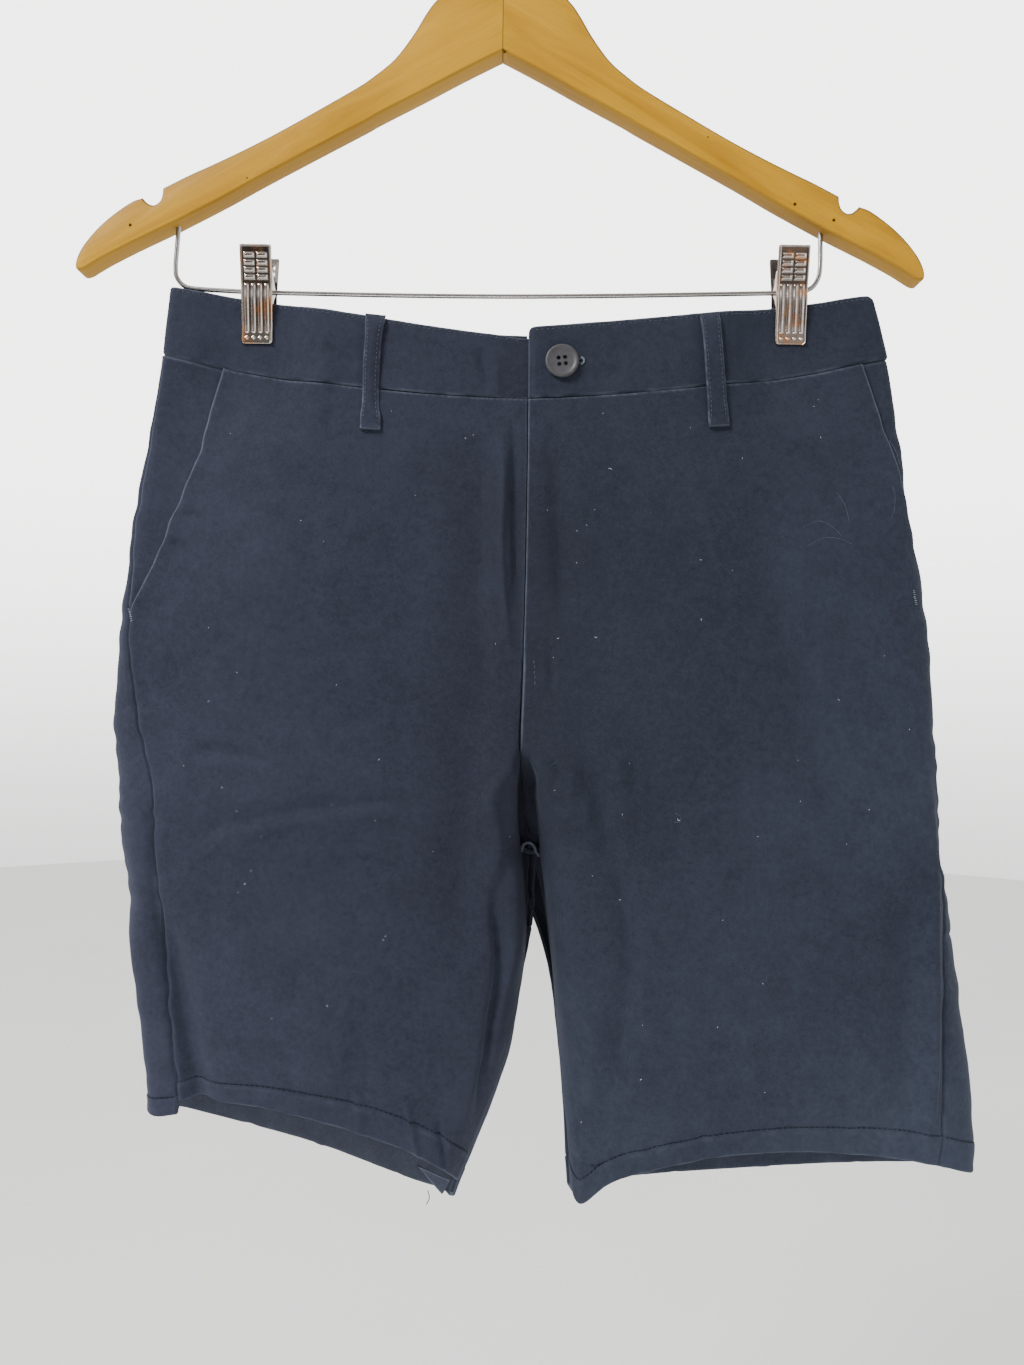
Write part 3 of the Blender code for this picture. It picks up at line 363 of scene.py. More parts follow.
BACK_RIGHT = (
    ("seat soft ridge", ((-52, -322), (-62, -372), (-78, -428), (-92, -470)), 26, 30, 1.1),
    ("beside the rise", ((-13, -318), (-17, -368), (-15, -420), (-12, -458)), 7, 9, -1.2),
    ("rise roll", ((4, -330), (3, -385), (1, -436)), 4.5, 5, 0.7),
    ("crotch pull a", ((-2, -462), (-22, -468), (-48, -465), (-80, -455), (-108, -447)), 5, 4, -1.3),
    ("crotch pull a lit", ((-8, -472), (-34, -476), (-62, -474), (-90, -466)), 5, 4.5, 0.9),
    ("crotch pull b", ((2, -482), (-18, -498), (-44, -514), (-70, -536), (-88, -560)), 6, 7, -2),
    ("crotch pull c", ((8, -500), (-6, -524), (-24, -556), (-36, -590)), 4.5, 6, -1.7),
    ("inner thigh roll", ((10, -520), (2, -556), (-6, -600), (-16, -650)), 6, 7, 1.3),
    ("under the seat", ((-172, -500), (-146, -508), (-118, -505), (-92, -496)), 5, 7, -1.3),
    ("under the seat lit", ((-165, -511), (-138, -519), (-110, -516)), 5, 4, 0.8),
    ("outer long valley", ((-150, -452), (-146, -505), (-139, -560), (-131, -618),
     (-126, -668)), 9, 13, -2.3),
    ("outer roll", ((-170, -470), (-168, -540), (-160, -600), (-152, -668)), 9, 8, 1.6),
    ("middle ridge", ((-98, -520), (-101, -575), (-96, -632), (-92, -688)), 15, 12, 1.5),
    ("middle valley", ((-72, -566), (-68, -612), (-62, -664)), 9, 12, -1.5),
    ("side pull", ((-186, -380), (-170, -392), (-150, -400), (-128, -402)), 6, 5, -0.8),
    ("pucker a", ((-199, -424), (-190, -427), (-180, -425)), 1.8, 1.6, -0.5),
    ("pucker b", ((-198, -462), (-189, -464), (-180, -468)), 1.8, 1.8, -0.5),
    ("pucker c", ((-190, -543), (-181, -545), (-173, -541)), 1.8, 1.6, -0.5),
    ("pucker d", ((-184, -588), (-176, -591), (-167, -590)), 1.9, 1.5, -0.5),
    ("pucker e", ((-181, -629), (-173, -631), (-164, -628)), 1.6, 1.5, -0.45),
    ("hem fold a", ((-128, -650), (-131, -668), (-133, -690)), 2.2, 2.6, 0.7),
    ("hem fold b", ((-96, -662), (-94, -680), (-93, -704)), 2, 1.8, -0.7),
    ("hem fold c", ((-58, -668), (-53, -690), (-50, -712)), 2, 2.2, 0.6),
    ("band wrinkle a", ((-118, -238), (-112, -252), (-109, -270)), 4, 3, -0.5),
    ("band wrinkle b", ((-58, -246), (-52, -260), (-50, -276)), 4, 4, 0.4),
    ("under the band", ((-120, -276), (-108, -290), (-102, -312)), 5, 4, -0.7),
    ("under the band b", ((-30, -288), (-27, -306), (-30, -330)), 4, 4, -0.6),
)
FRONT_LEFT = (
    ("valley right of the fly", ((26.1, -298.2), (30.6, -336.3), (33.1, -371.9),
     (36.2, -417.6)), 5, 7.5, -1.3),
    ("fly pucker a", ((54.2, -375.8), (57.4, -391), (58.7, -406.2)), 1.8, 2.6, -0.3),
    ("fly pucker b", ((41.5, -374), (44.2, -386.6), (42.4, -398.3)), 2.2, 1.8, -0.3),
    ("fly pucker c", ((25.9, -412.7), (29.1, -426.8), (27.2, -443.1)), 2, 2, -0.5),
    ("front long valley", ((133.9, -302.5), (137.9, -340.4), (143.9, -375.8), (154.5, -413.6),
     (161.5, -451.5), (171.6, -486.9), (187.2, -522.1), (197.7, -554.9)), 17, 13, -2.1),
    ("inner leg valley", ((23, -435), (34.2, -447.9), (45, -465.4), (52.3, -486.4), (59.1, -512.9),
     (66, -540.5), (70.3, -568.1), (69.7, -598.2), (66.1, -628.4), (59.8, -654.6),
     (53.2, -688.9)), 9.5, 4, -3.6),
    ("inner leg roll", ((29.7, -493.2), (35.1, -523.3), (39.6, -558.4), (44.1, -598.5),
     (47.7, -643.7)), 8, 9, 1.5),
    ("crescent a", ((25.8, -470.3), (31.2, -479.3), (32.2, -491.4)), 2.2, 1.0, -0.55),
    ("crescent a lit", ((28.2, -470.6), (33.8, -479.6), (34.6, -492.0)), 1.3, 1.3, 0.5),
    ("crescent b", ((67.9, -471.3), (73.0, -483.8), (72.2, -499)), 3.0, 1.3, -0.55),
    ("crescent b lit", ((70.4, -471.3), (75.6, -483.8), (74.6, -499)), 1.5, 1.5, 0.4),
    ("crescent crest", ((59.8, -467.8), (63.4, -476.9), (64.6, -488)), 4, 4.5, 1),
    ("crescent lift", ((36.1, -471.7), (39.8, -481.2), (39.9, -493.3)), 3, 3.5, 0.7),
    ("small wrinkle a", ((31.8, -499.2), (36.9, -504.2), (43, -509.1)), 1.6, 1.4, 0.5),
    ("small wrinkle b", ((46.3, -491), (47.9, -499), (49, -509)), 1.4, 1.2, 0.5),
    ("outseam lit band", ((222.7, -464.2), (225.5, -518.6), (226.6, -570.3), (226.8, -627.3),
     (225.3, -674), (224.6, -699.9)), 4.2, 2.6, 1.3),
    ("outseam valley", ((201.1, -525.6), (210.1, -553.6), (212.7, -594.6), (212.7, -635.5),
     (211.6, -672)), 12, 6, -2.2),
    ("mid soft ridge", ((113.8, -462), (122.2, -532.3), (125.7, -612.6)), 30, 28, 0.9),
    ("mid soft valley", ((82.3, -557.9), (89.3, -598), (86.8, -643.2)), 10, 12, -0.6),
    ("upper soft ridge", ((85.2, -310.2), (89.5, -371.2), (94.3, -432.1)), 26, 24, 0.8),
    ("pocket pucker a", ((191.5, -338), (197.7, -342), (204.5, -348.2)), 2, 1.6, -0.45),
    ("pocket pucker b", ((198.1, -368.9), (204.8, -371.9), (211.1, -377)), 2, 1.6, -0.4),
    ("hem tip fold", ((42, -679.2), (46.7, -683.7), (54.8, -684.7), (62.9, -679.5)), 2, 1.5, -0.8),
    ("hem soft fold a", ((77, -661.9), (80.3, -677.2), (82.5, -695)), 3, 3.5, 0.5),
    ("hem soft fold b", ((107.6, -656.5), (110.8, -671.7), (114.1, -692.1)), 3, 2.6, -0.5),
    ("hem soft fold c", ((182, -650.4), (184.2, -665.7), (185.5, -686.1)), 4, 3.6, 0.4),
    ("side pucker a", ((232.6, -561.4), (237.9, -563.4), (242.6, -562.3)), 1.6, 1.4, -0.45),
    ("side pucker b", ((234, -584.9), (240.3, -587.5), (245.5, -586.9)), 1.8, 1.4, -0.45),
    ("side pucker c", ((235.3, -608.5), (241.6, -611.5), (247.9, -610.4)), 1.6, 1.6, -0.4),
    ("side pucker d", ((234.5, -633.6), (241.9, -636.7), (249.2, -635)), 1.8, 1.5, -0.45),
    ("band wrinkle a", ((58.6, -250.8), (62.9, -261.2), (62, -279.3)), 3, 3, -0.35),
    ("band wrinkle b", ((126.4, -242), (129.7, -257.1), (127.8, -272.8)), 4, 3, -0.35),
)
BACK_LEFT = (
    ("seat soft ridge", ((62, -322), (72, -376), (86, -430), (104, -472)), 30, 26, 1.2),
    ("beside the rise", ((26, -322), (31, -368), (30, -418), (26, -452)), 8, 7, -1.3),
    ("rise roll", ((17, -336), (16, -388), (17, -438)), 4, 4.5, 0.6),
    ("crotch pull a", ((20, -458), (42, -466), (70, -468), (102, -458), (134, -444)), 5, 4.5, -1.4),
    ("crotch pull a lit", ((28, -469), (54, -477), (84, -478), (116, -468)), 5, 4.5, 0.9),
    ("crotch pull b", ((24, -480), (46, -497), (74, -512), (104, -538), (122, -566)), 6.5, 6, -2.1),
    ("crotch pull c", ((30, -503), (44, -530), (62, -562), (74, -598)), 6, 4.5, -1.8),
    ("inner thigh roll", ((36, -520), (42, -562), (46, -610), (50, -664)), 6, 6, 1.2),
    ("under the seat", ((206, -496), (180, -506), (150, -506), (122, -498)), 6, 6, -1.3),
    ("under the seat lit", ((200, -508), (172, -518), (144, -518)), 5, 4, 0.7),
    ("outer long valley", ((182, -448), (186, -500), (194, -556), (200, -620), (206, -686)), 12, 9, -2.2),
    ("outer roll", ((208, -462), (214, -530), (222, -600), (228, -672)), 8, 9, 1.5),
    ("middle ridge", ((138, -520), (146, -580), (152, -640), (158, -698)), 13, 15, 1.6),
    ("middle valley", ((104, -572), (110, -622), (116, -682)), 12, 9, -1.6),
    ("side pull", ((216, -374), (198, -388), (176, -396), (152, -398)), 5, 6, -0.8),
    ("pucker a", ((226, -418), (217, -422), (207, -421)), 1.8, 1.6, -0.5),
    ("pucker b", ((231, -456), (222, -459), (212, -457)), 1.8, 1.7, -0.5),
    ("pucker c", ((235, -505), (226, -508), (217, -506)), 1.7, 1.6, -0.5),
    ("pucker d", ((240, -552), (231, -555), (222, -552)), 1.8, 1.5, -0.5),
    ("pucker e", ((247, -604), (238, -606), (229, -604)), 1.7, 1.7, -0.5),
    ("pucker f", ((252, -650), (243, -652), (234, -649)), 1.6, 1.5, -0.45),
    ("hem fold a", ((96, -668), (100, -686), (102, -708)), 2.2, 2, 0.7),
    ("hem fold b", ((146, -664), (149, -684), (151, -704)), 2.4, 2, -0.7),
    ("hem fold c", ((196, -660), (199, -680), (201, -700)), 2.2, 2.4, 0.6),
    ("band wrinkle a", ((74, -244), (70, -258), (71, -274)), 4, 4, -0.5),
    ("band wrinkle b", ((140, -236), (145, -250), (146, -268)), 4, 3, 0.4),
    ("under the band", ((142, -272), (132, -288), (128, -310)), 4, 5, -0.7),
    ("under the band b", ((48, -286), (46, -306), (49, -330)), 4, 4, -0.6),
)
FOLDS = {-1: (FRONT_RIGHT, BACK_RIGHT), +1: (FRONT_LEFT, BACK_LEFT)}


def prepared(folds):
    out = []
    for _, line, wa, wb, high in folds:
        line = smooth_path(line, 4)
        seg = np.diff(line, axis=0)
        long = np.linalg.norm(seg, axis=1)
        reach = 3.0 * max(wa, wb)
        gain = 2.2 if abs(high) < 1.6 else 1.7 if abs(high) < 3 else 1.2
        out.append((line, seg, long, np.concatenate([[0], np.cumsum(long)]), line.min(0) - reach,
                    line.max(0) + reach, wa, wb, high * gain))
    return out


READY = {side: tuple(prepared(t) for t in FOLDS[side]) for side in FOLDS}


def fold_field(x, z, folds):
    """Sum of the folds at points (x, z)."""
    total = np.zeros_like(x)
    for line, seg, long, start, lo, hi, wa, wb, high in folds:
        pick = (x > lo[0]) & (x < hi[0]) & (z > lo[1]) & (z < hi[1])
        if not pick.any():
            continue
        px, pz = x[pick], z[pick]
        best = np.full(px.shape, 1e9)
        sign = np.zeros_like(px)
        u = np.zeros_like(px)
        for k, (d, L) in enumerate(zip(seg, long)):
            rx, rz = px - line[k, 0], pz - line[k, 1]
            f = np.clip((rx * d[0] + rz * d[1]) / (L * L), 0, 1)
            ex, ez = rx - f * d[0], rz - f * d[1]
            dist = np.hypot(ex, ez)
            near = dist < best
            best = np.where(near, dist, best)
            sign = np.where(near, np.sign(d[0] * rz - d[1] * rx), sign)
            u = np.where(near, (start[k] + f * L) / start[-1], u)
        w = np.where(sign > 0, wb, wa)      # drawn downwards, the left hand is +X
        taper = soft(np.minimum(u, 1 - u) / 0.28)
        total[pick] += high * taper * np.exp(-(best / w) ** 2)
    return total


def relief(side, x, z, a, seed=0):
    """How far the cloth stands out from its plain form, in mm."""
    front = soft((a + 7.0) / 14.0)
    table_f, table_b = READY[side]
    out = front * fold_field(x, z, table_f) + (1 - front) * fold_field(x, z, table_b)
    k = 11 if side < 0 else 23
    quiet = soft((-z - 235.0) / 40.0)
    out += quiet * 0.75 * noise2(a / 34.0 + 7, z / 46.0 + 3, k)
    out += quiet * 0.34 * noise2(a / 13.0 + 1, z / 21.0 + 9, k + 1)
    out += 0.10 * noise2(a / 5.2 + 4, z / 6.4 + 2, k + 2)
    return out


# ------------------------------------------------------------ mesh building
def finish_mesh(name, mesh, mat, body="root", sharp=50):
    ob = bpy.data.objects.new(name, mesh)
    COLL.objects.link(ob)
    mesh.materials.append(mat)
    mesh.shade_smooth()
    if sharp:
        mesh.set_sharp_from_angle(angle=math.radians(sharp))
    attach(ob, body)
    return ob


def sheet_mesh(name, outer, inner, mat, uv=None, wear_and_shading=None, sharp=50, inside=None):
    """Closed cloth between an outer and an inner grid of points (mm)."""
    n, m = outer.shape[:2]
    verts = np.concatenate([outer.reshape(-1, 3), inner.reshape(-1, 3)]) * MM
    idx = np.arange(n * m).reshape(n, m)
    far = idx + n * m
    q = [np.stack([idx[:-1, :-1], idx[1:, :-1], idx[1:, 1:], idx[:-1, 1:]], -1).reshape(-1, 4),
         np.stack([far[:-1, :-1], far[:-1, 1:], far[1:, 1:], far[1:, :-1]], -1).reshape(-1, 4)]
    ring = np.concatenate([idx[0, :], idx[1:, -1], idx[-1, -2::-1], idx[-2:0:-1, 0]])
    nxt = np.roll(ring, -1)
    q.append(np.stack([ring, nxt, nxt + n * m, ring + n * m], -1))
    faces = np.concatenate(q)
    # faces turn outwards
    a, b, c = verts[faces[0, 0]], verts[faces[0, 1]], verts[faces[0, 2]]
    k = (n // 2) * (m - 1) + m // 2
    f = faces[k]
    nrm = np.cross(verts[f[1]] - verts[f[0]], verts[f[2]] - verts[f[0]])
    if np.dot(nrm, verts[f[0]] - verts[f[0] + n * m]) < 0:
        faces = faces[:, ::-1]
    mesh = bpy.data.meshes.new(name)
    mesh.vertices.add(len(verts))
    mesh.vertices.foreach_set("co", verts.astype(np.float32).ravel())
    mesh.loops.add(faces.size)
    mesh.loops.foreach_set("vertex_index", faces.astype(np.int32).ravel())
    mesh.polygons.add(len(faces))
    mesh.polygons.foreach_set("loop_start", np.arange(0, faces.size, 4, dtype=np.int32))
    mesh.update(calc_edges=True)
    mesh.validate()
    if uv is None:
        uv = np.stack(np.meshgrid(np.arange(m) * 1.0, np.arange(n) * 1.0), -1)
    lay = mesh.uv_layers.new(name="cloth")
    both = np.concatenate([uv.reshape(-1, 2), uv.reshape(-1, 2)]) * MM
    lay.data.foreach_set("uv", both[faces.ravel()].astype(np.float32).ravel())
    w = np.zeros(n * m) if wear_and_shading is None else wear_and_shading.ravel()
    att = mesh.attributes.new("wear_and_shading", "FLOAT", "POINT")
    far_w = w * 0.5 if inside is None else inside.ravel()
    att.data.foreach_set("value", np.concatenate([w, far_w]).astype(np.float32))
    return finish_mesh(name, mesh, mat, sharp=sharp)


def near_edges(total, lo, hi, middle):
    """Distances 0..total, close together at both ends; `middle` even ones between."""
    lo, hi = np.asarray(lo), total - np.asarray(hi)[::-1]
    return np.concatenate([lo, np.linspace(lo[-1], hi[0], middle + 2)[1:-1], hi])


FINE = (0.0, 0.25, 0.55, 0.9, 1.35, 1.9, 2.6, 3.5, 4.7, 6.0)



# ------------------------------------------------------------ materials
def new_mat(name, colour, rough, metal=0.0):
    m = bpy.data.materials.new(name)
    m.use_nodes = True
    nt = m.node_tree
    b = nt.nodes["Principled BSDF"]
    b.inputs["Base Color"].default_value = (*colour, 1)
    b.inputs["Roughness"].default_value = rough
    b.inputs["Metallic"].default_value = metal
    return m, nt, b


def node(nt, kind, **kw):
    n = nt.nodes.new(kind)
    for k, v in kw.items():
        if k in n.inputs:
            n.inputs[k].default_value = v
        else:
            setattr(n, k, v)
    return n


def math_node(nt, op, a, b=None, clamp=False):
    n = nt.nodes.new("ShaderNodeMath")
    n.operation = op
    n.use_clamp = clamp
    for i, v in enumerate((a, b)):
        if v is None:
            continue
        if isinstance(v, (int, float)):
            n.inputs[i].default_value = v
        else:
            nt.links.new(v, n.inputs[i])
    return n.outputs[0]


def mix_rgb(nt, fac, a, b, mode="MIX"):
    n = nt.nodes.new("ShaderNodeMix")
    n.data_type = "RGBA"
    n.blend_type = mode
    for sock, v in ((n.inputs["Factor"], fac), (n.inputs[6], a), (n.inputs[7], b)):
        if isinstance(v, (int, float)):
            sock.default_value = v
        elif isinstance(v, tuple):
            sock.default_value = (*v, 1)
        else:
            nt.links.new(v, sock)
    return n.outputs[2]


def cloth_material(name, deep, pale, worn, weave=1.0, sheen=0.18):
    """Washed cotton twill: fine diagonal weave, mottled dye, paler worn edges, with painted light and shade across the
    legs and on the hem's inner face.
    """
    m, nt, b = new_mat(name, deep, 0.93)
    uv = node(nt, "ShaderNodeTexCoord")
    geo = uv.outputs["Object"]
    big = node(nt, "ShaderNodeTexNoise", Scale=11.0, Detail=4.0, Roughness=0.6)
    mid = node(nt, "ShaderNodeTexNoise", Scale=95.0, Detail=3.0, Roughness=0.65)
    fine = node(nt, "ShaderNodeTexNoise", Scale=900.0, Detail=2.0, Roughness=0.7)
    for n in (big, mid, fine):
        nt.links.new(geo, n.inputs["Vector"])
    # the twill line runs up to the wearer's left; the cloth's own map carries it
    sep = node(nt, "ShaderNodeSeparateXYZ")
    nt.links.new(uv.outputs["UV"], sep.inputs[0])
    jit = math_node(nt, "MULTIPLY", mid.outputs["Fac"], 0.0006)
    diag = math_node(nt, "ADD", math_node(nt, "MULTIPLY", sep.outputs["X"], 0.72),
                     math_node(nt, "MULTIPLY", sep.outputs["Y"], 0.69))
    diag = math_node(nt, "ADD", diag, jit)
    line = math_node(nt, "SINE", math_node(nt, "MULTIPLY", diag, 2 * math.pi / 0.00062))
    weft = math_node(nt, "SINE", math_node(nt, "MULTIPLY", sep.outputs["Y"], 2 * math.pi / 0.00048))
    yarn = math_node(nt, "ADD", math_node(nt, "MULTIPLY", line, 0.34), math_node(nt, "MULTIPLY", weft, 0.10))
    # colour
    grit = node(nt, "ShaderNodeTexNoise", Scale=340.0, Detail=3.0, Roughness=0.7)
    nt.links.new(geo, grit.inputs["Vector"])
    fade = math_node(nt, "ADD", math_node(nt, "MULTIPLY", big.outputs["Fac"], 0.70),
                     math_node(nt, "MULTIPLY", mid.outputs["Fac"], 0.55))
    fade = math_node(nt, "ADD", fade, math_node(nt, "MULTIPLY", grit.outputs["Fac"], 0.80))
    fade = math_node(nt, "SUBTRACT", fade, 0.70, clamp=True)
    base = mix_rgb(nt, fade, deep, pale)
    # the wearer's left half has dyed a little greener
    where = node(nt, "ShaderNodeSeparateXYZ")
    nt.links.new(geo, where.inputs[0])
    half = node(nt, "ShaderNodeMapRange", interpolation_type="SMOOTHSTEP")
    for i, v in ((1, -0.01), (2, 0.05), (3, 0.0), (4, 1.0)):
        half.inputs[i].default_value = v
    nt.links.new(where.outputs["X"], half.inputs[0])
    base = mix_rgb(nt, half.outputs[0], base, (0.91, 1.0, 0.93), "MULTIPLY")
    # painted light and shade: paler towards the outseams and the hems, darker round the fly, as light falls across the
    # legs; little of it at the waist
    over = node(nt, "ShaderNodeMapRange")
    for i, v in ((1, -0.23), (2, 0.25), (3, 0.0), (4, 1.0)):
        over.inputs[i].default_value = v
    nt.links.new(where.outputs["X"], over.inputs[0])
    ramp = node(nt, "ShaderNodeValToRGB")
    ramp.color_ramp.interpolation = "B_SPLINE"
    e = ramp.color_ramp.elements
    stops = ((0.06, 0.88), (0.16, 0.74), (0.30, 0.68), (0.40, 0.61), (0.47, 0.49), (0.55, 0.51), (0.64, 0.60), (0.74, 0.70),
             (0.86, 0.82), (0.96, 0.98))
    e[0].position, e[1].position = stops[0][0], stops[-1][0]
    for at, v in stops[1:-1]:
        e.new(at)
    for k, (at, v) in zip(e, stops):
        k.color = (v, v, v, 1)
    nt.links.new(over.outputs[0], ramp.inputs[0])
    upper = node(nt, "ShaderNodeMapRange", interpolation_type="SMOOTHSTEP")
    for i, v in ((1, -0.36), (2, -0.28), (3, 1.0), (4, 0.15)):
        upper.inputs[i].default_value = v
    nt.links.new(where.outputs["Z"], upper.inputs[0])
    lower = node(nt, "ShaderNodeMapRange", interpolation_type="SMOOTHSTEP")
    for i, v in ((1, -0.69), (2, -0.54), (3, 1.20), (4, 1.0)):
        lower.inputs[i].default_value = v
    nt.links.new(where.outputs["Z"], lower.inputs[0])
    painted_shading_gain = math_node(nt, "SUBTRACT", math_node(nt, "MULTIPLY", ramp.outputs[0], 1.5), 1.0)
    thigh = node(nt, "ShaderNodeMapRange", interpolation_type="SMOOTHSTEP")
    for i, v in ((1, -0.60), (2, -0.48), (3, 0.30), (4, 0.0)):
        thigh.inputs[i].default_value = v
    nt.links.new(where.outputs["Z"], thigh.inputs[0])
    near_mid = math_node(nt, "SUBTRACT", 1.0, math_node(nt, "ABSOLUTE", math_node(nt, "MULTIPLY", math_node(nt, "SUBTRACT", where.outputs["X"], 0.035), 12.0), 0.0), clamp=True)
    painted_shading_gain = math_node(nt, "ADD", painted_shading_gain, math_node(nt, "MULTIPLY", near_mid, thigh.outputs[0]))
    painted_shading_gain = math_node(nt, "ADD", math_node(nt, "MULTIPLY", painted_shading_gain, upper.outputs[0]), 1.0)
    painted_shading_gain = math_node(nt, "MULTIPLY", painted_shading_gain, lower.outputs[0])
    painted_shading = node(nt, "ShaderNodeVectorMath", operation="SCALE")
    nt.links.new(base, painted_shading.inputs[0])
    nt.links.new(painted_shading_gain, painted_shading.inputs["Scale"])
    base = painted_shading.outputs[0]
    speck = math_node(nt, "MULTIPLY", math_node(nt, "ADD", yarn, math_node(nt, "SUBTRACT", fine.outputs["Fac"], 0.5)), 0.36)
    base = mix_rgb(nt, math_node(nt, "ADD", speck, 0.06, clamp=True), base, tuple(min(1, c * 2.0) for c in pale))
    # worn edges, and painted light on the hem's inner face, both read from the mesh attribute
    att = node(nt, "ShaderNodeAttribute", attribute_name="wear_and_shading")
    patchy = math_node(nt, "ADD", math_node(nt, "MULTIPLY", fine.outputs["Fac"], 0.7),
                       math_node(nt, "MULTIPLY", mid.outputs["Fac"], 0.7))
    rub = math_node(nt, "MULTIPLY", att.outputs["Fac"], math_node(nt, "SUBTRACT", patchy, 0.05), clamp=True)
    base = mix_rgb(nt, rub, base, worn)
    nt.links.new(base, b.inputs["Base Color"])
    # relief of the yarns
    hgt = math_node(nt, "ADD", math_node(nt, "MULTIPLY", yarn, weave),
                    math_node(nt, "MULTIPLY", fine.outputs["Fac"], 1.3))
    bump_n = node(nt, "ShaderNodeBump", Strength=0.55, Distance=0.00012)
    nt.links.new(hgt, bump_n.inputs["Height"])
    slub = node(nt, "ShaderNodeBump", Strength=0.5, Distance=0.0006)
    nt.links.new(mid.outputs["Fac"], slub.inputs["Height"])
    nt.links.new(bump_n.outputs["Normal"], slub.inputs["Normal"])
    nt.links.new(slub.outputs["Normal"], b.inputs["Normal"])
    rough = math_node(nt, "ADD", math_node(nt, "MULTIPLY", mid.outputs["Fac"], 0.12), 0.84)
    nt.links.new(rough, b.inputs["Roughness"])
    b.inputs["Specular IOR Level"].default_value = 0.14
    b.inputs["Sheen Weight"].default_value = sheen
    b.inputs["Sheen Roughness"].default_value = 0.45
    b.inputs["Sheen Tint"].default_value = (0.62, 0.72, 0.95, 1)
    return m


def thread_material(name, colour, rough=0.7, gloss=0.3):
    m, nt, b = new_mat(name, colour, rough)
    uv = node(nt, "ShaderNodeTexCoord")
    n = node(nt, "ShaderNodeTexNoise", Scale=420.0, Detail=2.0)
    nt.links.new(uv.outputs["Object"], n.inputs["Vector"])
    col = mix_rgb(nt, n.outputs["Fac"], tuple(c * 0.6 for c in colour), tuple(min(1, c * 1.5) for c in colour))
    nt.links.new(col, b.inputs["Base Color"])
    bp = node(nt, "ShaderNodeBump", Strength=0.4, Distance=0.0001)
    nt.links.new(n.outputs["Fac"], bp.inputs["Height"])
    nt.links.new(bp.outputs["Normal"], b.inputs["Normal"])
    b.inputs["Sheen Weight"].default_value = gloss * 0.5
    b.inputs["Specular IOR Level"].default_value = gloss
    return m


def wood_material(name, side):
    """Honey varnished wood, grain along the arm."""
    m, nt, b = new_mat(name, (0.55, 0.31, 0.09), 0.42)
    tc = node(nt, "ShaderNodeTexCoord")
    mp = node(nt, "ShaderNodeMapping")
    mp.inputs["Rotation"].default_value = (0, side * math.radians(-29.5), 0)
    nt.links.new(tc.outputs["Object"], mp.inputs["Vector"])
    # long flames of grain, stretched along the arm
    st = node(nt, "ShaderNodeMapping")
    st.inputs["Scale"].default_value = (5.0, 60.0, 60.0)
    nt.links.new(mp.outputs[0], st.inputs["Vector"])
    grain = node(nt, "ShaderNodeTexNoise", Scale=1.6, Detail=5.0, Roughness=0.62, Distortion=0.6)
    nt.links.new(st.outputs[0], grain.inputs["Vector"])
    st2 = node(nt, "ShaderNodeMapping")
    st2.inputs["Scale"].default_value = (30.0, 900.0, 900.0)
    nt.links.new(mp.outputs[0], st2.inputs["Vector"])
    pore = node(nt, "ShaderNodeTexNoise", Scale=1.0, Detail=3.0, Roughness=0.6)
    nt.links.new(st2.outputs[0], pore.inputs["Vector"])
    cloud = node(nt, "ShaderNodeTexNoise", Scale=16.0, Detail=3.0)
    nt.links.new(tc.outputs["Object"], cloud.inputs["Vector"])
    ramp = node(nt, "ShaderNodeValToRGB")
    e = ramp.color_ramp.elements
    e[0].position, e[0].color = 0.30, (0.262, 0.126, 0.0060, 1)
    e[1].position, e[1].color = 0.72, (0.460, 0.254, 0.0185, 1)
    mid = ramp.color_ramp.elements.new(0.5)
    mid.color = (0.378, 0.199, 0.0112, 1)
    g = math_node(nt, "ADD", math_node(nt, "MULTIPLY", grain.outputs["Fac"], 0.72),
                  math_node(nt, "MULTIPLY", cloud.outputs["Fac"], 0.28))
    nt.links.new(g, ramp.inputs[0])
    dark = math_node(nt, "MULTIPLY", math_node(nt, "SUBTRACT", pore.outputs["Fac"], 0.52, clamp=True), 1.4)
    col = mix_rgb(nt, dark, ramp.outputs[0], (0.27, 0.13, 0.03))
    # darker along the top edges, and painted shade on the underside, as the arm marks them
    att = node(nt, "ShaderNodeAttribute", attribute_name="wear_and_shading")
    col = mix_rgb(nt, math_node(nt, "MULTIPLY", att.outputs["Fac"], 0.88), col, (0.100, 0.055, 0.014))
    nt.links.new(col, b.inputs["Base Color"])
    bp = node(nt, "ShaderNodeBump", Strength=0.18, Distance=0.0004)
    nt.links.new(pore.outputs["Fac"], bp.inputs["Height"])
    nt.links.new(bp.outputs["Normal"], b.inputs["Normal"])
    rg = math_node(nt, "ADD", math_node(nt, "MULTIPLY", cloud.outputs["Fac"], 0.16), 0.34)
    nt.links.new(rg, b.inputs["Roughness"])
    b.inputs["Specular IOR Level"].default_value = 0.11
    b.inputs["Coat Weight"].default_value = 0.03
    b.inputs["Coat Roughness"].default_value = 0.26
    return m


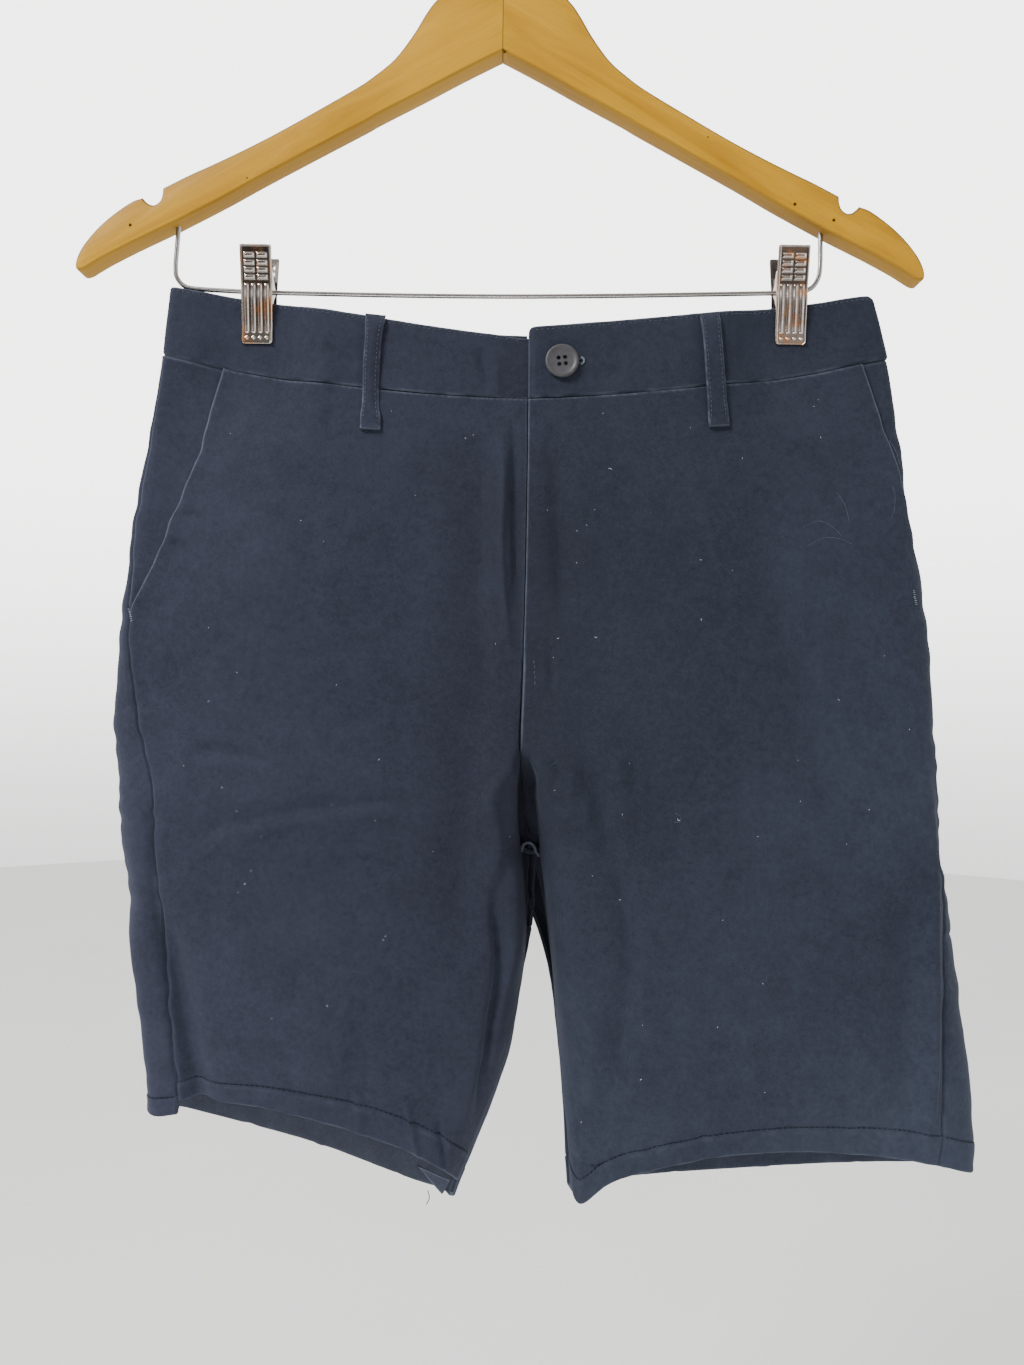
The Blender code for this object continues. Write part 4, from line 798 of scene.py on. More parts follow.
def metal_material(name, colour, rough, darkening=0.35, scale=260.0, pit=0.00006, orange_reflection=0.0):
    m, nt, b = new_mat(name, colour, rough, 1.0)
    tc = node(nt, "ShaderNodeTexCoord")
    n = node(nt, "ShaderNodeTexNoise", Scale=scale, Detail=4.0, Roughness=0.65)
    n2 = node(nt, "ShaderNodeTexNoise", Scale=scale * 5, Detail=2.0, Roughness=0.6)
    nt.links.new(tc.outputs["Object"], n.inputs["Vector"])
    nt.links.new(tc.outputs["Object"], n2.inputs["Vector"])
    dirt = math_node(nt, "MULTIPLY", math_node(nt, "SUBTRACT", n.outputs["Fac"], 0.42, clamp=True), 2.2 * darkening)
    col = mix_rgb(nt, dirt, colour, tuple(c * 0.35 for c in colour))
    # darker where the part's attribute marks it
    att = node(nt, "ShaderNodeAttribute", attribute_name="wear_and_shading")
    col = mix_rgb(nt, att.outputs["Fac"], col, (0.055, 0.045, 0.038))
    # painted reflection: warm orange patches stand in for warm things reflected in the chrome
    n3 = node(nt, "ShaderNodeTexNoise", Scale=scale * 0.5, Detail=2.0, Roughness=0.5)
    nt.links.new(tc.outputs["Object"], n3.inputs["Vector"])
    warm = math_node(nt, "MULTIPLY", math_node(nt, "SUBTRACT", n3.outputs["Fac"], 0.52, clamp=True), orange_reflection * 6)
    col = mix_rgb(nt, warm, col, (0.52, 0.27, 0.12))
    nt.links.new(col, b.inputs["Base Color"])
    r = math_node(nt, "ADD", math_node(nt, "MULTIPLY", n.outputs["Fac"], 0.22), rough - 0.08)
    nt.links.new(r, b.inputs["Roughness"])
    bp = node(nt, "ShaderNodeBump", Strength=0.35, Distance=pit)
    nt.links.new(n2.outputs["Fac"], bp.inputs["Height"])
    nt.links.new(bp.outputs["Normal"], b.inputs["Normal"])
    return m


def button_material():
    m, nt, b = new_mat("grey button", (0.085, 0.080, 0.09), 0.42)
    tc = node(nt, "ShaderNodeTexCoord")
    n = node(nt, "ShaderNodeTexNoise", Scale=170.0, Detail=4.0, Distortion=1.6)
    nt.links.new(tc.outputs["Object"], n.inputs["Vector"])
    col = mix_rgb(nt, n.outputs["Fac"], (0.023, 0.0235, 0.028), (0.047, 0.0475, 0.055))
    nt.links.new(col, b.inputs["Base Color"])
    r = math_node(nt, "ADD", math_node(nt, "MULTIPLY", n.outputs["Fac"], 0.25), 0.38)
    nt.links.new(r, b.inputs["Roughness"])
    b.inputs["Specular IOR Level"].default_value = 0.35
    return m


TWILL = cloth_material("navy twill", (0.0072, 0.0088, 0.0160), (0.0245, 0.0290, 0.0475), (0.105, 0.125, 0.164), 1.0, 0.05)
POCKETING = cloth_material("pocketing", (0.018, 0.021, 0.030), (0.030, 0.034, 0.044), (0.07, 0.08, 0.1), 0.5, 0.05)
TAPE = cloth_material("zip tape", (0.010, 0.012, 0.019), (0.018, 0.021, 0.030), (0.04, 0.05, 0.06), 0.8, 0.05)
THREAD = thread_material("navy thread", (0.030, 0.037, 0.058))
THREAD_PALE = thread_material("worn thread", (0.100, 0.118, 0.150))
THREAD_BUTTON = thread_material("button thread", (0.030, 0.032, 0.045))
LINT = thread_material("lint", (0.34, 0.35, 0.38), 0.9)
HAIR = thread_material("hair", (0.085, 0.095, 0.115), 0.9)
WOOD = {s: wood_material("varnished wood " + w, s) for s, w in ((-1, "right"), (1, "left"))}
CHROME = metal_material("pressed chrome", (0.50, 0.465, 0.435), 0.17, 0.8, 240.0, orange_reflection=0.7)
# painted shade: the rear jaws and their ears, plated like the front ones, get a darker copy of the chrome
CHROME_SHADED = metal_material("rear jaw", (0.17, 0.155, 0.15), 0.30, 0.8, 300.0)
STEEL = metal_material("bar wire", (0.34, 0.335, 0.335), 0.22, 0.4, 160.0)
HOOK_MAT = metal_material("hook wire", (0.48, 0.48, 0.49), 0.17, 0.2, 120.0)
SPRING = metal_material("spring wire", (0.22, 0.21, 0.21), 0.3, 0.5, 300.0)
ZIP_METAL = metal_material("zip metal", (0.10, 0.105, 0.12), 0.35, 0.3, 300.0)
BUTTON = button_material()


# ------------------------------------------------------------ leg panels
def levels_down(h, s, top, gaps_top, step, stitch, gaps_end):
    """Levels from `top` to the hem, close together at the top, the hem stitch and the hem."""
    ts = np.linspace(top, 10, 900)
    run = h.look(h.C, ts, np.full(900, s))
    run = run[0] - run
    total = run[-1]
    at = list(gaps_top)
    mid = np.arange(gaps_top[-1], total - gaps_end[-1], step)
    at += list(mid[1:])
    at += [total - stitch + d for d in (-1.3, -0.8, -0.45, -0.15, 0.15, 0.45, 0.8, 1.3)]
    at += [total - g for g in gaps_end]
    at = np.unique(np.round(at, 3))
    keep = [at[0]]
    for v in at[1:]:
        if v - keep[-1] > 0.1:
            keep.append(v)
    at = np.array(keep)
    return np.interp(at, run, ts), total - at


_d = 1 + 1.3 * (1 - soft((np.linspace(0, 1, 81) - 0.22) / 0.16))
DENSE = np.concatenate([[0], np.cumsum(2 / (_d[1:] + _d[:-1]))])
DENSE = DENSE / DENSE[-1]


def bump(d, centre, width):
    return np.exp(-((d - centre) / width) ** 2)


def hem_lift(side, s):
    """The wearer's right front hem rides up over the back one."""
    s = np.asarray(s, float)
    if side > 0:
        return 0.0 * s
    return (7.2 + 1.6 * np.exp(-((s - 0.22) / 0.13) ** 2) - 1.3 * np.exp(-((s - 0.62) / 0.2) ** 2)) * (s <= 1)


def hem_depth(side, s):
    """How far above the edge the hem is stitched; it runs in at one outseam."""
    s = np.asarray(s, float)
    if side < 0:
        return HEM_DEEP + 1.2 - 6.6 * soft((s - 0.30) / 0.70) * soft((1.6 - s) / 0.5)
    return HEM_DEEP - 1.5 + 2.2 * soft((s - 0.62) / 0.38)


def panel(name, side, front, middle):
    """A leg panel with its folds, rolled seam edges and turned-up hem."""
    h = HALF[side]
    s_ref = 0.5 if front else 1.5
    ts, to_hem = levels_down(h, s_ref, 0.966, (0, 0.6, 1.0, 1.2, 1.4, 1.7, 2.1, 2.6, 3.3, 4.2), 1.9, HEM_DEEP,
                             (0, 0.25, 0.6, 1.0, 1.5, 2.2, 3.2, 4.4))
    gap = 0.06
    seam, total = h.span(ts)
    ends = np.interp(ts, range(11), h.cols["slant"]) if front else 0 * ts
    wide = seam - np.maximum(ends, gap) if front else total - seam - gap
    cols = np.array([near_edges(v, [gap + f for f in FINE], FINE, middle) for v in wide])
    if front:      # closer together by the inner thigh, where the folds are tight
        u = (cols - cols[:, :1]) / (cols[:, -1:] - cols[:, :1])
        mid = np.interp(u, np.linspace(0, 1, 81), DENSE)
        ease = soft((cols - cols[:, :1] - 6.0) / 6.0) * soft((cols[:, -1:] - cols - 6.0) / 12.0)
        cols = cols[:, :1] + (u + (mid - u) * ease) * (cols[:, -1:] - cols[:, :1])
    d_in, d_out = cols - gap, wide[:, None] - cols
    s = cols / seam[:, None] if front else 2 - cols / (total - seam)[:, None]
    T, dh, mouth = (v[:, None] + 0 * cols for v in (ts, to_hem, ends))
    # near the hem the rows run a set distance above it
    keep = 1 - soft((dh - 17.0) / 43.0)
    up = hem_lift(side, s) * keep
    low = h.hem_level(s, np.minimum(dh * (1 + (hem_depth(side, s) / HEM_DEEP - 1) * keep) + up, 60.0))
    T = np.where(dh < 60, T + (low - T) * keep, T)
    P, N, A = h.frame(T, s)
    out = relief(side, P[..., 0], P[..., 2], A)
    out = out * soft((T - 0.99) / 0.06) * soft((dh + 0.5) / 1.5 + 0.6)
    w = np.zeros_like(out)
    k = 41 + side + 7 * front
    # seam edges roll in; the allowance behind them stands up a little
    jog = noise2((dh + 40) / 6.5, cols * 0 + 0.3, k)
    fine_jog = noise2((dh + 40) / 1.9, cols * 0 + 0.6, k + 20)
    fly = (T < 4.2) if front else np.zeros_like(T, bool)
    join = np.where(fly, 1 - soft((T - 3.95) / 0.25), 0.0)
    if side > 0:
        out += join * (0.85 * (1 - soft(d_in / 16.0)) - 0.30 * np.exp(-(d_in / 0.5) ** 2))
        w += join * (0.62 + 0.25 * fine_jog) * np.exp(-(d_in / 0.6) ** 2)
    else:
        out -= join * 0.65 * (1 - soft(d_in / 9.0))
        w += join * 0.12 * np.exp(-(d_in / 1.3) ** 2)
    low_end = soft((dh - 1.0) / 4.0)
    out -= (1 - join) * (0.55 + 0.2 * (side < 0)) * low_end * np.exp(-(d_in / 0.6) ** 2)
    out += (1 - join) * (0.22 + 0.12 * jog) * bump(d_in, 3.0, 2.0)
    rise = 1 - soft((T - 4.9) / 0.5)
    inseam = soft((T - 6.9) / 0.5) * (1 if side < 0 else 0.3)
    lit = 0.62 if side > 0 else 0.05
    w += (1 - join) * (lit * rise + 0.42 * inseam + 0.15 * fine_jog * (0.3 + rise)) * bump(d_in, 0.7, 0.5)
    pocket = soft((mouth - 0.3) / 0.3)
    out += pocket * (0.30 * (1 - soft((d_out - 4.0) / 3.0)) - 0.32 * np.exp(-(d_out / 0.5) ** 2)
                     + 0.16 * jog * bump(d_out, 3.0, 3.0))
    w += pocket * (0.75 + 0.2 * fine_jog) * np.exp(-(d_out / 0.7) ** 2)
    out += (1 - pocket) * ((0.25 + 0.14 * jog) * bump(d_out, 2.8, 1.9) - 0.85 * low_end * np.exp(-(d_out / 0.8) ** 2))
    w += (1 - pocket) * (0.06 + 0.05 * jog) * bump(d_out, 1.1, 0.7)
    # the waist seam: the panel dives in behind the band's edge
    d_top = (T - 1.0) * 46.0
    dive = 1 - soft((d_top + 0.1) / 1.1)
    out = out * (1 - dive) - 1.2 * dive
    out += 0.18 * noise2(cols / 5.5, cols * 0 + 0.5, k + 5) * np.exp(-(d_top / 5.0) ** 2) * (1 - dive)
    dash = 0.5 + 0.5 * np.sin(cols * 2 * math.pi / 2.9 + 2 * noise2(cols / 9.0, cols * 0 + 0.6, k + 8))
    w += (0.12 + 0.30 * noise2(cols / 8.0, cols * 0 + 0.2, k + 6) + 0.42 * dash) * bump(d_top, 1.15, 0.5)
    # the hem: three layers up to the stitch line, puckered along it
    hem = soft((HEM_DEEP - dh) / 1.2 + 0.5)
    pull = noise2(cols / 4.6 + dh / 30.0, cols * 0 + 0.7, k + 9)
    out += 0.42 * hem - 0.50 * np.exp(-((dh - HEM_DEEP) / 0.55) ** 2)
    out += 0.24 * pull * np.exp(-((dh - HEM_DEEP) / 6.5) ** 2)
    out += 0.16 * noise2(cols / 3.3 - dh / 7.0, cols * 0 + 0.2, k + 3) * hem
    out -= 0.62 * np.exp(-(dh / 0.55) ** 2)
    w += (0.30 + 0.32 * noise2(cols / 7.0, cols * 0, k + 4)) * np.exp(-(dh / 0.8) ** 2)
    w += 0.10 * np.exp(-((dh - HEM_DEEP + 2.2) / 0.9) ** 2) * (0.5 + pull)
    thick = CLOTH + (HEM_THICK - CLOTH) * soft((HEM_DEEP + 1.0 - dh) / 0.7)
    thick = thick - 0.9 * np.exp(-(dh / 0.5) ** 2) - 0.35 * dive
    outer = P + N * out[..., None]
    inner = outer - N * thick[..., None]
    uv = np.stack([A, P[..., 2]], -1)
    # the inner face carries half the edge wear, and painted light up the turned-up hem where the front panel shades
    # it, more on the wearer's right leg
    inside = 0.5 * w + (0.40 if side < 0 else 0.15) * soft((HEM_DEEP + 3.0 - dh) / 2.0)
    ob = sheet_mesh(name, outer, inner, TWILL, uv, np.clip(w, 0, 1), inside=np.clip(inside, 0, 1))
    return ob


# ------------------------------------------------------------ slant pockets
def facing(name, side):
    """Twill piece behind the pocket mouth, from the outseam in under the front."""
    h = HALF[side]
    P, N, A, D, M = [], [], [], [], []
    ts = np.concatenate([[0.966, 0.98, 0.99, 0.996, 1.0, 1.006, 1.014, 1.026, 1.042, 1.065], np.linspace(1.1, 3.85, 90)])
    for t in ts:
        mouth = max(float(np.interp(t, range(11), h.cols["slant"])), 0.4)
        dist = near_edges(mouth + 20.0, FINE, (0.0, 1.0), 44)[::-1] + 0.06
        seam, _ = h.span(t)
        p, n, a = h.frame(t, 1 - dist / seam)
        P.append(p), N.append(n), A.append(a), D.append(dist), M.append(mouth)
    P, N, A, dist = map(np.array, (P, N, A, D))
    mouth = np.array(M)[:, None]
    deep = (CLOTH + 0.45) * soft(dist / np.maximum(mouth * 0.85, 1.2))
    out = relief(side, P[..., 0], P[..., 2], A) - deep
    out -= 0.7 * np.exp(-(dist / 0.75) ** 2)
    out += 0.3 * bump(dist, 2.8, 1.9)
    d_top = (ts[:, None] - 1.0) * 46.0 + 0 * dist
    dive = 1 - soft((d_top + 0.1) / 1.1)
    out = out * (1 - dive) - 1.2 * dive
    w = 0.3 * bump(dist, 1.1, 0.7) + 0.4 * bump(d_top, 1.15, 0.55) * (dist < mouth)
    outer = P + N * out[..., None]
    inner = outer - N * (CLOTH - 0.35 * dive)[..., None]
    ob = sheet_mesh(name, outer, inner, TWILL, np.stack([A, P[..., 2]], -1), w)
    return ob


def bag(name, side):
    """Pocket bag of thin cloth, folded at the bottom, hanging inside."""
    h = HALF[side]
    levels = np.concatenate([[1.35], np.linspace(1.5, 4.8, 40)])
    path = [(t, 0) for t in levels] + [(levels[-1] + 0.02, 0.25), (levels[-1] + 0.03, 0.5),
                                       (levels[-1] + 0.02, 0.75)] + [(t, 1) for t in levels[::-1]]
    outer, inner, uv = [], [], []
    for k, (t, layer) in enumerate(path):
        round_off = 40.0 * max(0.0, (t - 3.9)) ** 2
        seam, total = h.span(t)
        start = 20 + h.value("nose", t) + max(0.0, -h.value("seam", t)) + round_off * 0.4
        p, n, a = h.frame(t, 1 - np.linspace(158 - round_off, start, 42) / seam)
        deep = 4.4 + 2.6 * layer - 0.35 * noise2(a / 17.0, p[:, 2] / 19.0, 71 + side)
        deep = deep - np.minimum(relief(side, p[:, 0], p[:, 2], a), 0.0)
        sign = 1.0 if layer <= 0.5 else -1.0
        if 0.2 < layer < 0.8:
            sign = 0.0
        outer.append(p - n * deep[:, None])
        if sign:
            inner.append(p - n * (deep + sign)[:, None])
        else:
            q, m, _ = h.frame(t - 0.018, 1 - np.linspace(158 - round_off, start, 42) / seam)
            inner.append(q - m * deep[:, None])
        uv.append(np.stack([a, p[:, 2] + 40 * layer], 1))
    ob = sheet_mesh(name, np.array(outer), np.array(inner), POCKETING, np.array(uv))
    return ob


# ------------------------------------------------------------ waistband
BAND_LOW = 35.25       # the band's lower edge, from its top


def band_surface(side, mm, s):
    """Waistband's outer surface `mm` below its top edge: points, normals and what shapes them."""
    h = HALF[side]
    t = mm / 35.4
    seam, total = h.span(t)
    p, n, a = h.frame(t, s)
    from_cf = np.where(s <= 1, s * seam, 1e3)
    from_cb = np.where(s > 1, (2 - s) * (total - seam), 1e3)
    out = relief(side, p[:, 0], p[:, 2], a)
    grip = np.exp(-((p[:, 0] - CLIP_X[side]) / 15.0) ** 4) * float(soft((t - 0.02) / 0.1))
    out = out * (1 - 0.85 * grip)       # held flat in the clips
    edge = min(mm, BAND_LOW - mm)
    out -= 0.72 * math.exp(-(edge / 0.55) ** 2)
    out -= 0.26 * math.exp(-((mm - 1.9) / 0.45) ** 2)
    out += 0.15 * noise2(p[:, 0] / 4.4, p[:, 2] * 0 + mm / 6.0, 90 + side) * math.exp(-(edge / 3.5) ** 2)
    out -= 0.5 * np.exp(-(from_cb / 0.7) ** 2)
    drop = np.zeros_like(s)
    if side < 0:
        out -= (BAND + SEAM_GAP) * soft(1 - from_cf / 22.0)
        drop = 5.4 * soft(1 - from_cf / 130.0) * (1 - t)
    else:
        out -= 0.6 * np.exp(-(from_cf / 0.55) ** 2)
        turn = np.clip(1 - from_cf / 3.6, 0, 1)
        drop = 3.0 * (1 - np.sqrt(1 - turn ** 2)) * (1 - t) ** 7
    down = np.stack([0 * drop, 0 * drop, drop], 1)
    return p + n * out[:, None] - down, n, a, from_cf


def band_line(side, mm, out=0.0):
    h = HALF[side]
    seam, total = h.span(mm / 35.4)
    s = np.concatenate([2 - np.arange(0.6, total - seam, 1.6) / (total - seam),
                        1 - np.arange(0, seam - 1.0, 1.6) / seam])
    p, n, _, _ = band_surface(side, mm, s)
    return p + n * out, n


def band(name, side):
    """Half the waistband; the right one runs on under the left to the button."""
    h = HALF[side]
    rows = np.concatenate([[0, 0.25, 0.55, 0.9, 1.3, 1.6, 1.9, 2.2, 2.6], np.linspace(3.3, 32.6, 24),
                           [33.2, 33.6, 34.0, 34.4, 34.8, 35.05, BAND_LOW]])
    outer, inner, uv, wear_and_shading = [], [], [], []
    for mm in rows:
        t = mm / 35.4
        seam, total = h.span(t)
        back = near_edges(total - seam, (0.12, 0.4, 0.8, 1.4, 2.2), (0.5,), 150)
        front = near_edges(seam, (1.0,), (2.6, 1.9, 1.35, 0.9, 0.55, 0.25, 0.0)[::-1], 150)
        s = np.concatenate([2 - back / (total - seam), 1 - front / seam])
        po, n, a, from_cf = band_surface(side, mm, s)
        edge = min(mm, BAND_LOW - mm)
        seam_edge = mm > 17
        w = ((0.30 if seam_edge else 0.34) + 0.3 * noise2(po[:, 0] / 5.0, po[:, 2] * 0 + seam_edge, 95 + side)) \
            * math.exp(-((edge - 0.3) / 0.6) ** 2)
        if side > 0:
            w = w + 0.42 * np.exp(-(from_cf / 0.5) ** 2) + 0.08 * np.exp(-((from_cf - 2.2) / 0.6) ** 2)
        thick = BAND - 1.1 * math.exp(-(edge / 0.5) ** 2)
        if seam_edge:
            thick = BAND - 1.4 * float(soft((mm - 33.3) / 0.5)) - 0.5 * math.exp(-(edge / 0.5) ** 2)
        po, pi = list(po), list(po - n * thick)
        aa, ww = list(a), list(w)
        if side < 0:
            other = HALF[1]
            step = np.array([0, 0, -5.4 * (1 - t)])
            q, m, _ = other.frame(t, other.shift(t, 0.0, 0.0))
            miss = po[-1][2] - (q[0][2] + step[2])
            for c in list(np.linspace(2.0, 27.6, 12)) + [28.6, 29.3, 29.7, 30.0]:
                q, m, _ = other.frame(t, other.shift(t, 0.0, c))
                q = q + np.array([0, 0, miss * math.exp(-(c / 14.0) ** 2)])
                lip = 0.6 * math.exp(-((30.0 - c) / 0.6) ** 2)
                po.append(q[0] + m[0] * (-(BAND + SEAM_GAP) - 0.7 * math.exp(-(edge / 0.55) ** 2) - lip) + step)
                pi.append(q[0] + m[0] * (-(2 * BAND + SEAM_GAP) + 0.5 * math.exp(-(edge / 0.5) ** 2) + lip) + step)
                aa.append(a[-1] + c)
                ww.append(0.0)
        outer.append(po)
        inner.append(pi)
        uv.append(np.stack([np.array(aa), np.full(len(aa), -mm)], 1))
        wear_and_shading.append(np.clip(ww, 0, 1))
    ob = sheet_mesh(name, np.array(outer), np.array(inner), TWILL, np.array(uv), np.array(wear_and_shading))
    return ob


# ------------------------------------------------------------ fly
def across(t, c, out, fine=True, ease=0.0):
    """Point at level t, c mm from the fly edge: -c on the right half, +c on the left.

    The folds fade out over `ease` mm at the fly edge, where the two halves' folds differ."""
    side = 1 if c >= 0 else -1
    h = HALF[side]
    p, n, a = h.frame(t, h.shift(t, 0.0, abs(c)))
    if fine:
        out = out + relief(side, p[:, 0], p[:, 2], a)[0] * (float(soft(abs(c) / ease)) if ease else 1.0)
    return p[0] + n[0] * out, n[0]


def strip(name, c0, c1, cols, t0, t1, rows, deep, thick, mat, rib=None):
    outer, inner, uv = [], [], []
    for t in np.linspace(t0, t1, rows):
        po, pi, ux = [], [], []
        for c in np.linspace(c0, c1, cols):
            more = 0.0
            if rib:
                more = rib[1] * float(soft((rib[2] - abs(c - rib[0])) / 0.8 + 0.5))
            q, m = across(t, float(c), -deep, True, 4.0)
            po.append(q)
            pi.append(q - m * (thick + more))
            ux.append((c, q[2]))
        outer.append(po)
        inner.append(pi)
        uv.append(ux)
    ob = sheet_mesh(name, np.array(outer), np.array(inner), mat, np.array(uv))
    return ob


def allowance(name, front, t0, t1, rows, wide):
    """Seam allowance inside a rise seam, bridging the two halves."""
    outer, inner, uv = [], [], []
    for t in np.linspace(t0, t1, rows):
        po, pi, ux = [], [], []
        for side, ds in ((-1, np.linspace(wide, 0.0, 7)), (1, np.linspace(0.0, wide, 7))):
            h = HALF[side]
            seam, total = h.span(t)
            p, n, a = h.frame(t, ds / seam if front else 2 - ds / (total - seam))
            back = (0.9 if front else -0.9) * float(soft((7.0 - t) / 0.6))
            out = relief(side, p[:, 0], p[:, 2], a) - (CLOTH + 0.95)
            po += list(p + n * out[:, None] + np.array([0, back, 0]))
            pi += list(p + n * (out - 0.8)[:, None] + np.array([0, back, 0]))
            ux += [(side * d, q[2]) for d, q in zip(ds, p)]
        outer.append(po)
        inner.append(pi)
        uv.append(ux)
    ob = sheet_mesh(name, np.array(outer), np.array(inner), TWILL, np.array(uv))
    return ob


def zip_teeth(name, t0, t1):
    """Closed chain of small teeth down the middle of the zip tape."""
    p0, _ = across(t0, 16.0, 0, False)
    p1, _ = across(t1, 16.0, 0, False)
    count = int(np.linalg.norm(p1 - p0) / 1.35)
    bm = bmesh.new()
    for k in range(count):
        t = t0 + (t1 - t0) * k / count
        q, m = across(t, 16.0 + (0.55 if k % 2 else -0.55), -(CLOTH + 0.3 + 0.8 + 0.75))
        mat = Matrix.Translation(Vector(q) * MM) @ Vector(m).to_track_quat("Z", "Y").to_matrix().to_4x4()
        r = bmesh.ops.create_cube(bm, size=1.0, matrix=mat @ Matrix.Diagonal((2.6 * MM, 0.8 * MM, 1.1 * MM, 1)))
        bmesh.ops.bevel(bm, geom=list({e for v in r["verts"] for e in v.link_edges}), offset=0.2 * MM,
                        segments=1, affect="EDGES")
    mesh = bpy.data.meshes.new(name)
    bm.to_mesh(mesh)
    bm.free()
    ob = finish_mesh(name, mesh, ZIP_METAL, sharp=30)
    return ob


# ------------------------------------------------------------ stitches
def stitches(name, runs, mat=None, pitch=2.7, length=2.0, wide=0.42, lift=0.12, seed=5):
    """Rows of short sewn stitches. Each run is (points, normals) along a line, mm."""
    r = np.random.default_rng(seed)
    verts, faces = [], []
    sides = 5
    prof = ((0.0, 0.05, -0.18), (0.18, 0.85, 0.06), (0.5, 1.0, 0.16), (0.82, 0.85, 0.06), (1.0, 0.05, -0.18))
    for pts, nrm in runs:
        pts, nrm = np.asarray(pts), np.asarray(nrm)
        run = np.concatenate([[0], np.cumsum(np.linalg.norm(np.diff(pts, axis=0), axis=1))])
        here = 0.4
        while here + length < run[-1]:
            L = length * r.uniform(0.88, 1.06)
            base = len(verts)
            for u, rad, up in prof:
                at = here + u * L
                c = np.array([np.interp(at, run, pts[:, i]) for i in range(3)])
                n = np.array([np.interp(at, run, nrm[:, i]) for i in range(3)])
                n /= np.linalg.norm(n)
                c2 = np.array([np.interp(min(at + 0.3, run[-1]), run, pts[:, i]) for i in range(3)])
                c1 = np.array([np.interp(max(at - 0.3, 0), run, pts[:, i]) for i in range(3)])
                d = c2 - c1
                d /= np.linalg.norm(d)
                b = np.cross(d, n)
                for j in range(sides):
                    ang = 2 * math.pi * j / sides
                    verts.append(c + n * (lift + up + 0.5 * wide * rad * math.sin(ang) * 0.8)
                                 + b * 0.5 * wide * rad * math.cos(ang))
            for i in range(len(prof) - 1):
                for j in range(sides):
                    j2 = (j + 1) % sides
                    faces.append((base + i * sides + j, base + i * sides + j2,
                                  base + (i + 1) * sides + j2, base + (i + 1) * sides + j))
            faces.append(tuple(base + j for j in range(sides))[::-1])
            last = base + (len(prof) - 1) * sides
            faces.append(tuple(last + j for j in range(sides)))
            here += pitch * r.uniform(0.97, 1.03)
    mesh = bpy.data.meshes.new(name)
    mesh.from_pydata([tuple(v * MM) for v in verts], [], faces)
    bm = bmesh.new()
    bm.from_mesh(mesh)
    bmesh.ops.recalc_face_normals(bm, faces=bm.faces)
    bm.to_mesh(mesh)
    bm.free()
    ob = finish_mesh(name, mesh, mat or THREAD, sharp=0)
    return ob


# ------------------------------------------------------------ hanger
ARM_TOP = ((0, -60.0), (13, -61.8), (25, -67.4), (35, -77.2), (40.2, -84.2), (46, -94), (52.2, -103.0),
           (57.8, -109.6), (65.4, -116.0), (74.5, -122.6), (93, -133.6), (117, -147.4), (136, -157.4),
           (152, -165.2), (164, -170.8), (177.2, -177.6))
NOTCH = ((177.4, -180.4), (178.4, -183.8), (181.0, -186.2), (183.8, -186.2), (186.4, -184.4))
ARM_TIP = ((187.8, -182.8), (194, -185.2), (203.8, -192.2), (211.6, -199.4), (218, -207.2), (221.4, -213.4),
           (222.6, -218.4), (221.4, -220.9), (218.0, -220.5), (214, -218.1), (207, -213.9), (194, -207.0))
ARM_UNDER = ((171.2, -195.9), (146.1, -182.6), (126.2, -171.3), (98, -155.9), (72.3, -142.0), (63.8, -137.1),
             (41.2, -125.2), (21.7, -114.6), (3.5, -105.2), (0, -103.6))


def bevelled(name, pts, half, width, segments, mat, sharp=35):
    """Closed outline in X-Z extruded along Y, its edges rounded."""
    bm = bmesh.new()
    f = bm.faces.new([bm.verts.new((x * MM, -half * MM, z * MM)) for x, z in pts])
    r = bmesh.ops.extrude_face_region(bm, geom=[f])
    bmesh.ops.translate(bm, verts=[v for v in r["geom"] if isinstance(v, bmesh.types.BMVert)],
                        vec=(0, 2 * half * MM, 0))
    bmesh.ops.recalc_face_normals(bm, faces=bm.faces)
    caps = [f for f in bm.faces if len(f.verts) > 4]
    edges = [e for e in {e for f in caps for e in f.edges} if max(abs(v.co.x) for v in e.verts) > 0.3 * MM]
    bmesh.ops.bevel(bm, geom=edges, offset=width * MM, segments=segments, profile=0.5,
                    affect="EDGES", clamp_overlap=True)
    bmesh.ops.triangulate(bm, faces=[f for f in bm.faces if len(f.verts) > 4], ngon_method="EAR_CLIP")
    mesh = bpy.data.meshes.new(name)
    bm.to_mesh(mesh)
    bm.free()
    ob = finish_mesh(name, mesh, mat, sharp=sharp)
    return ob


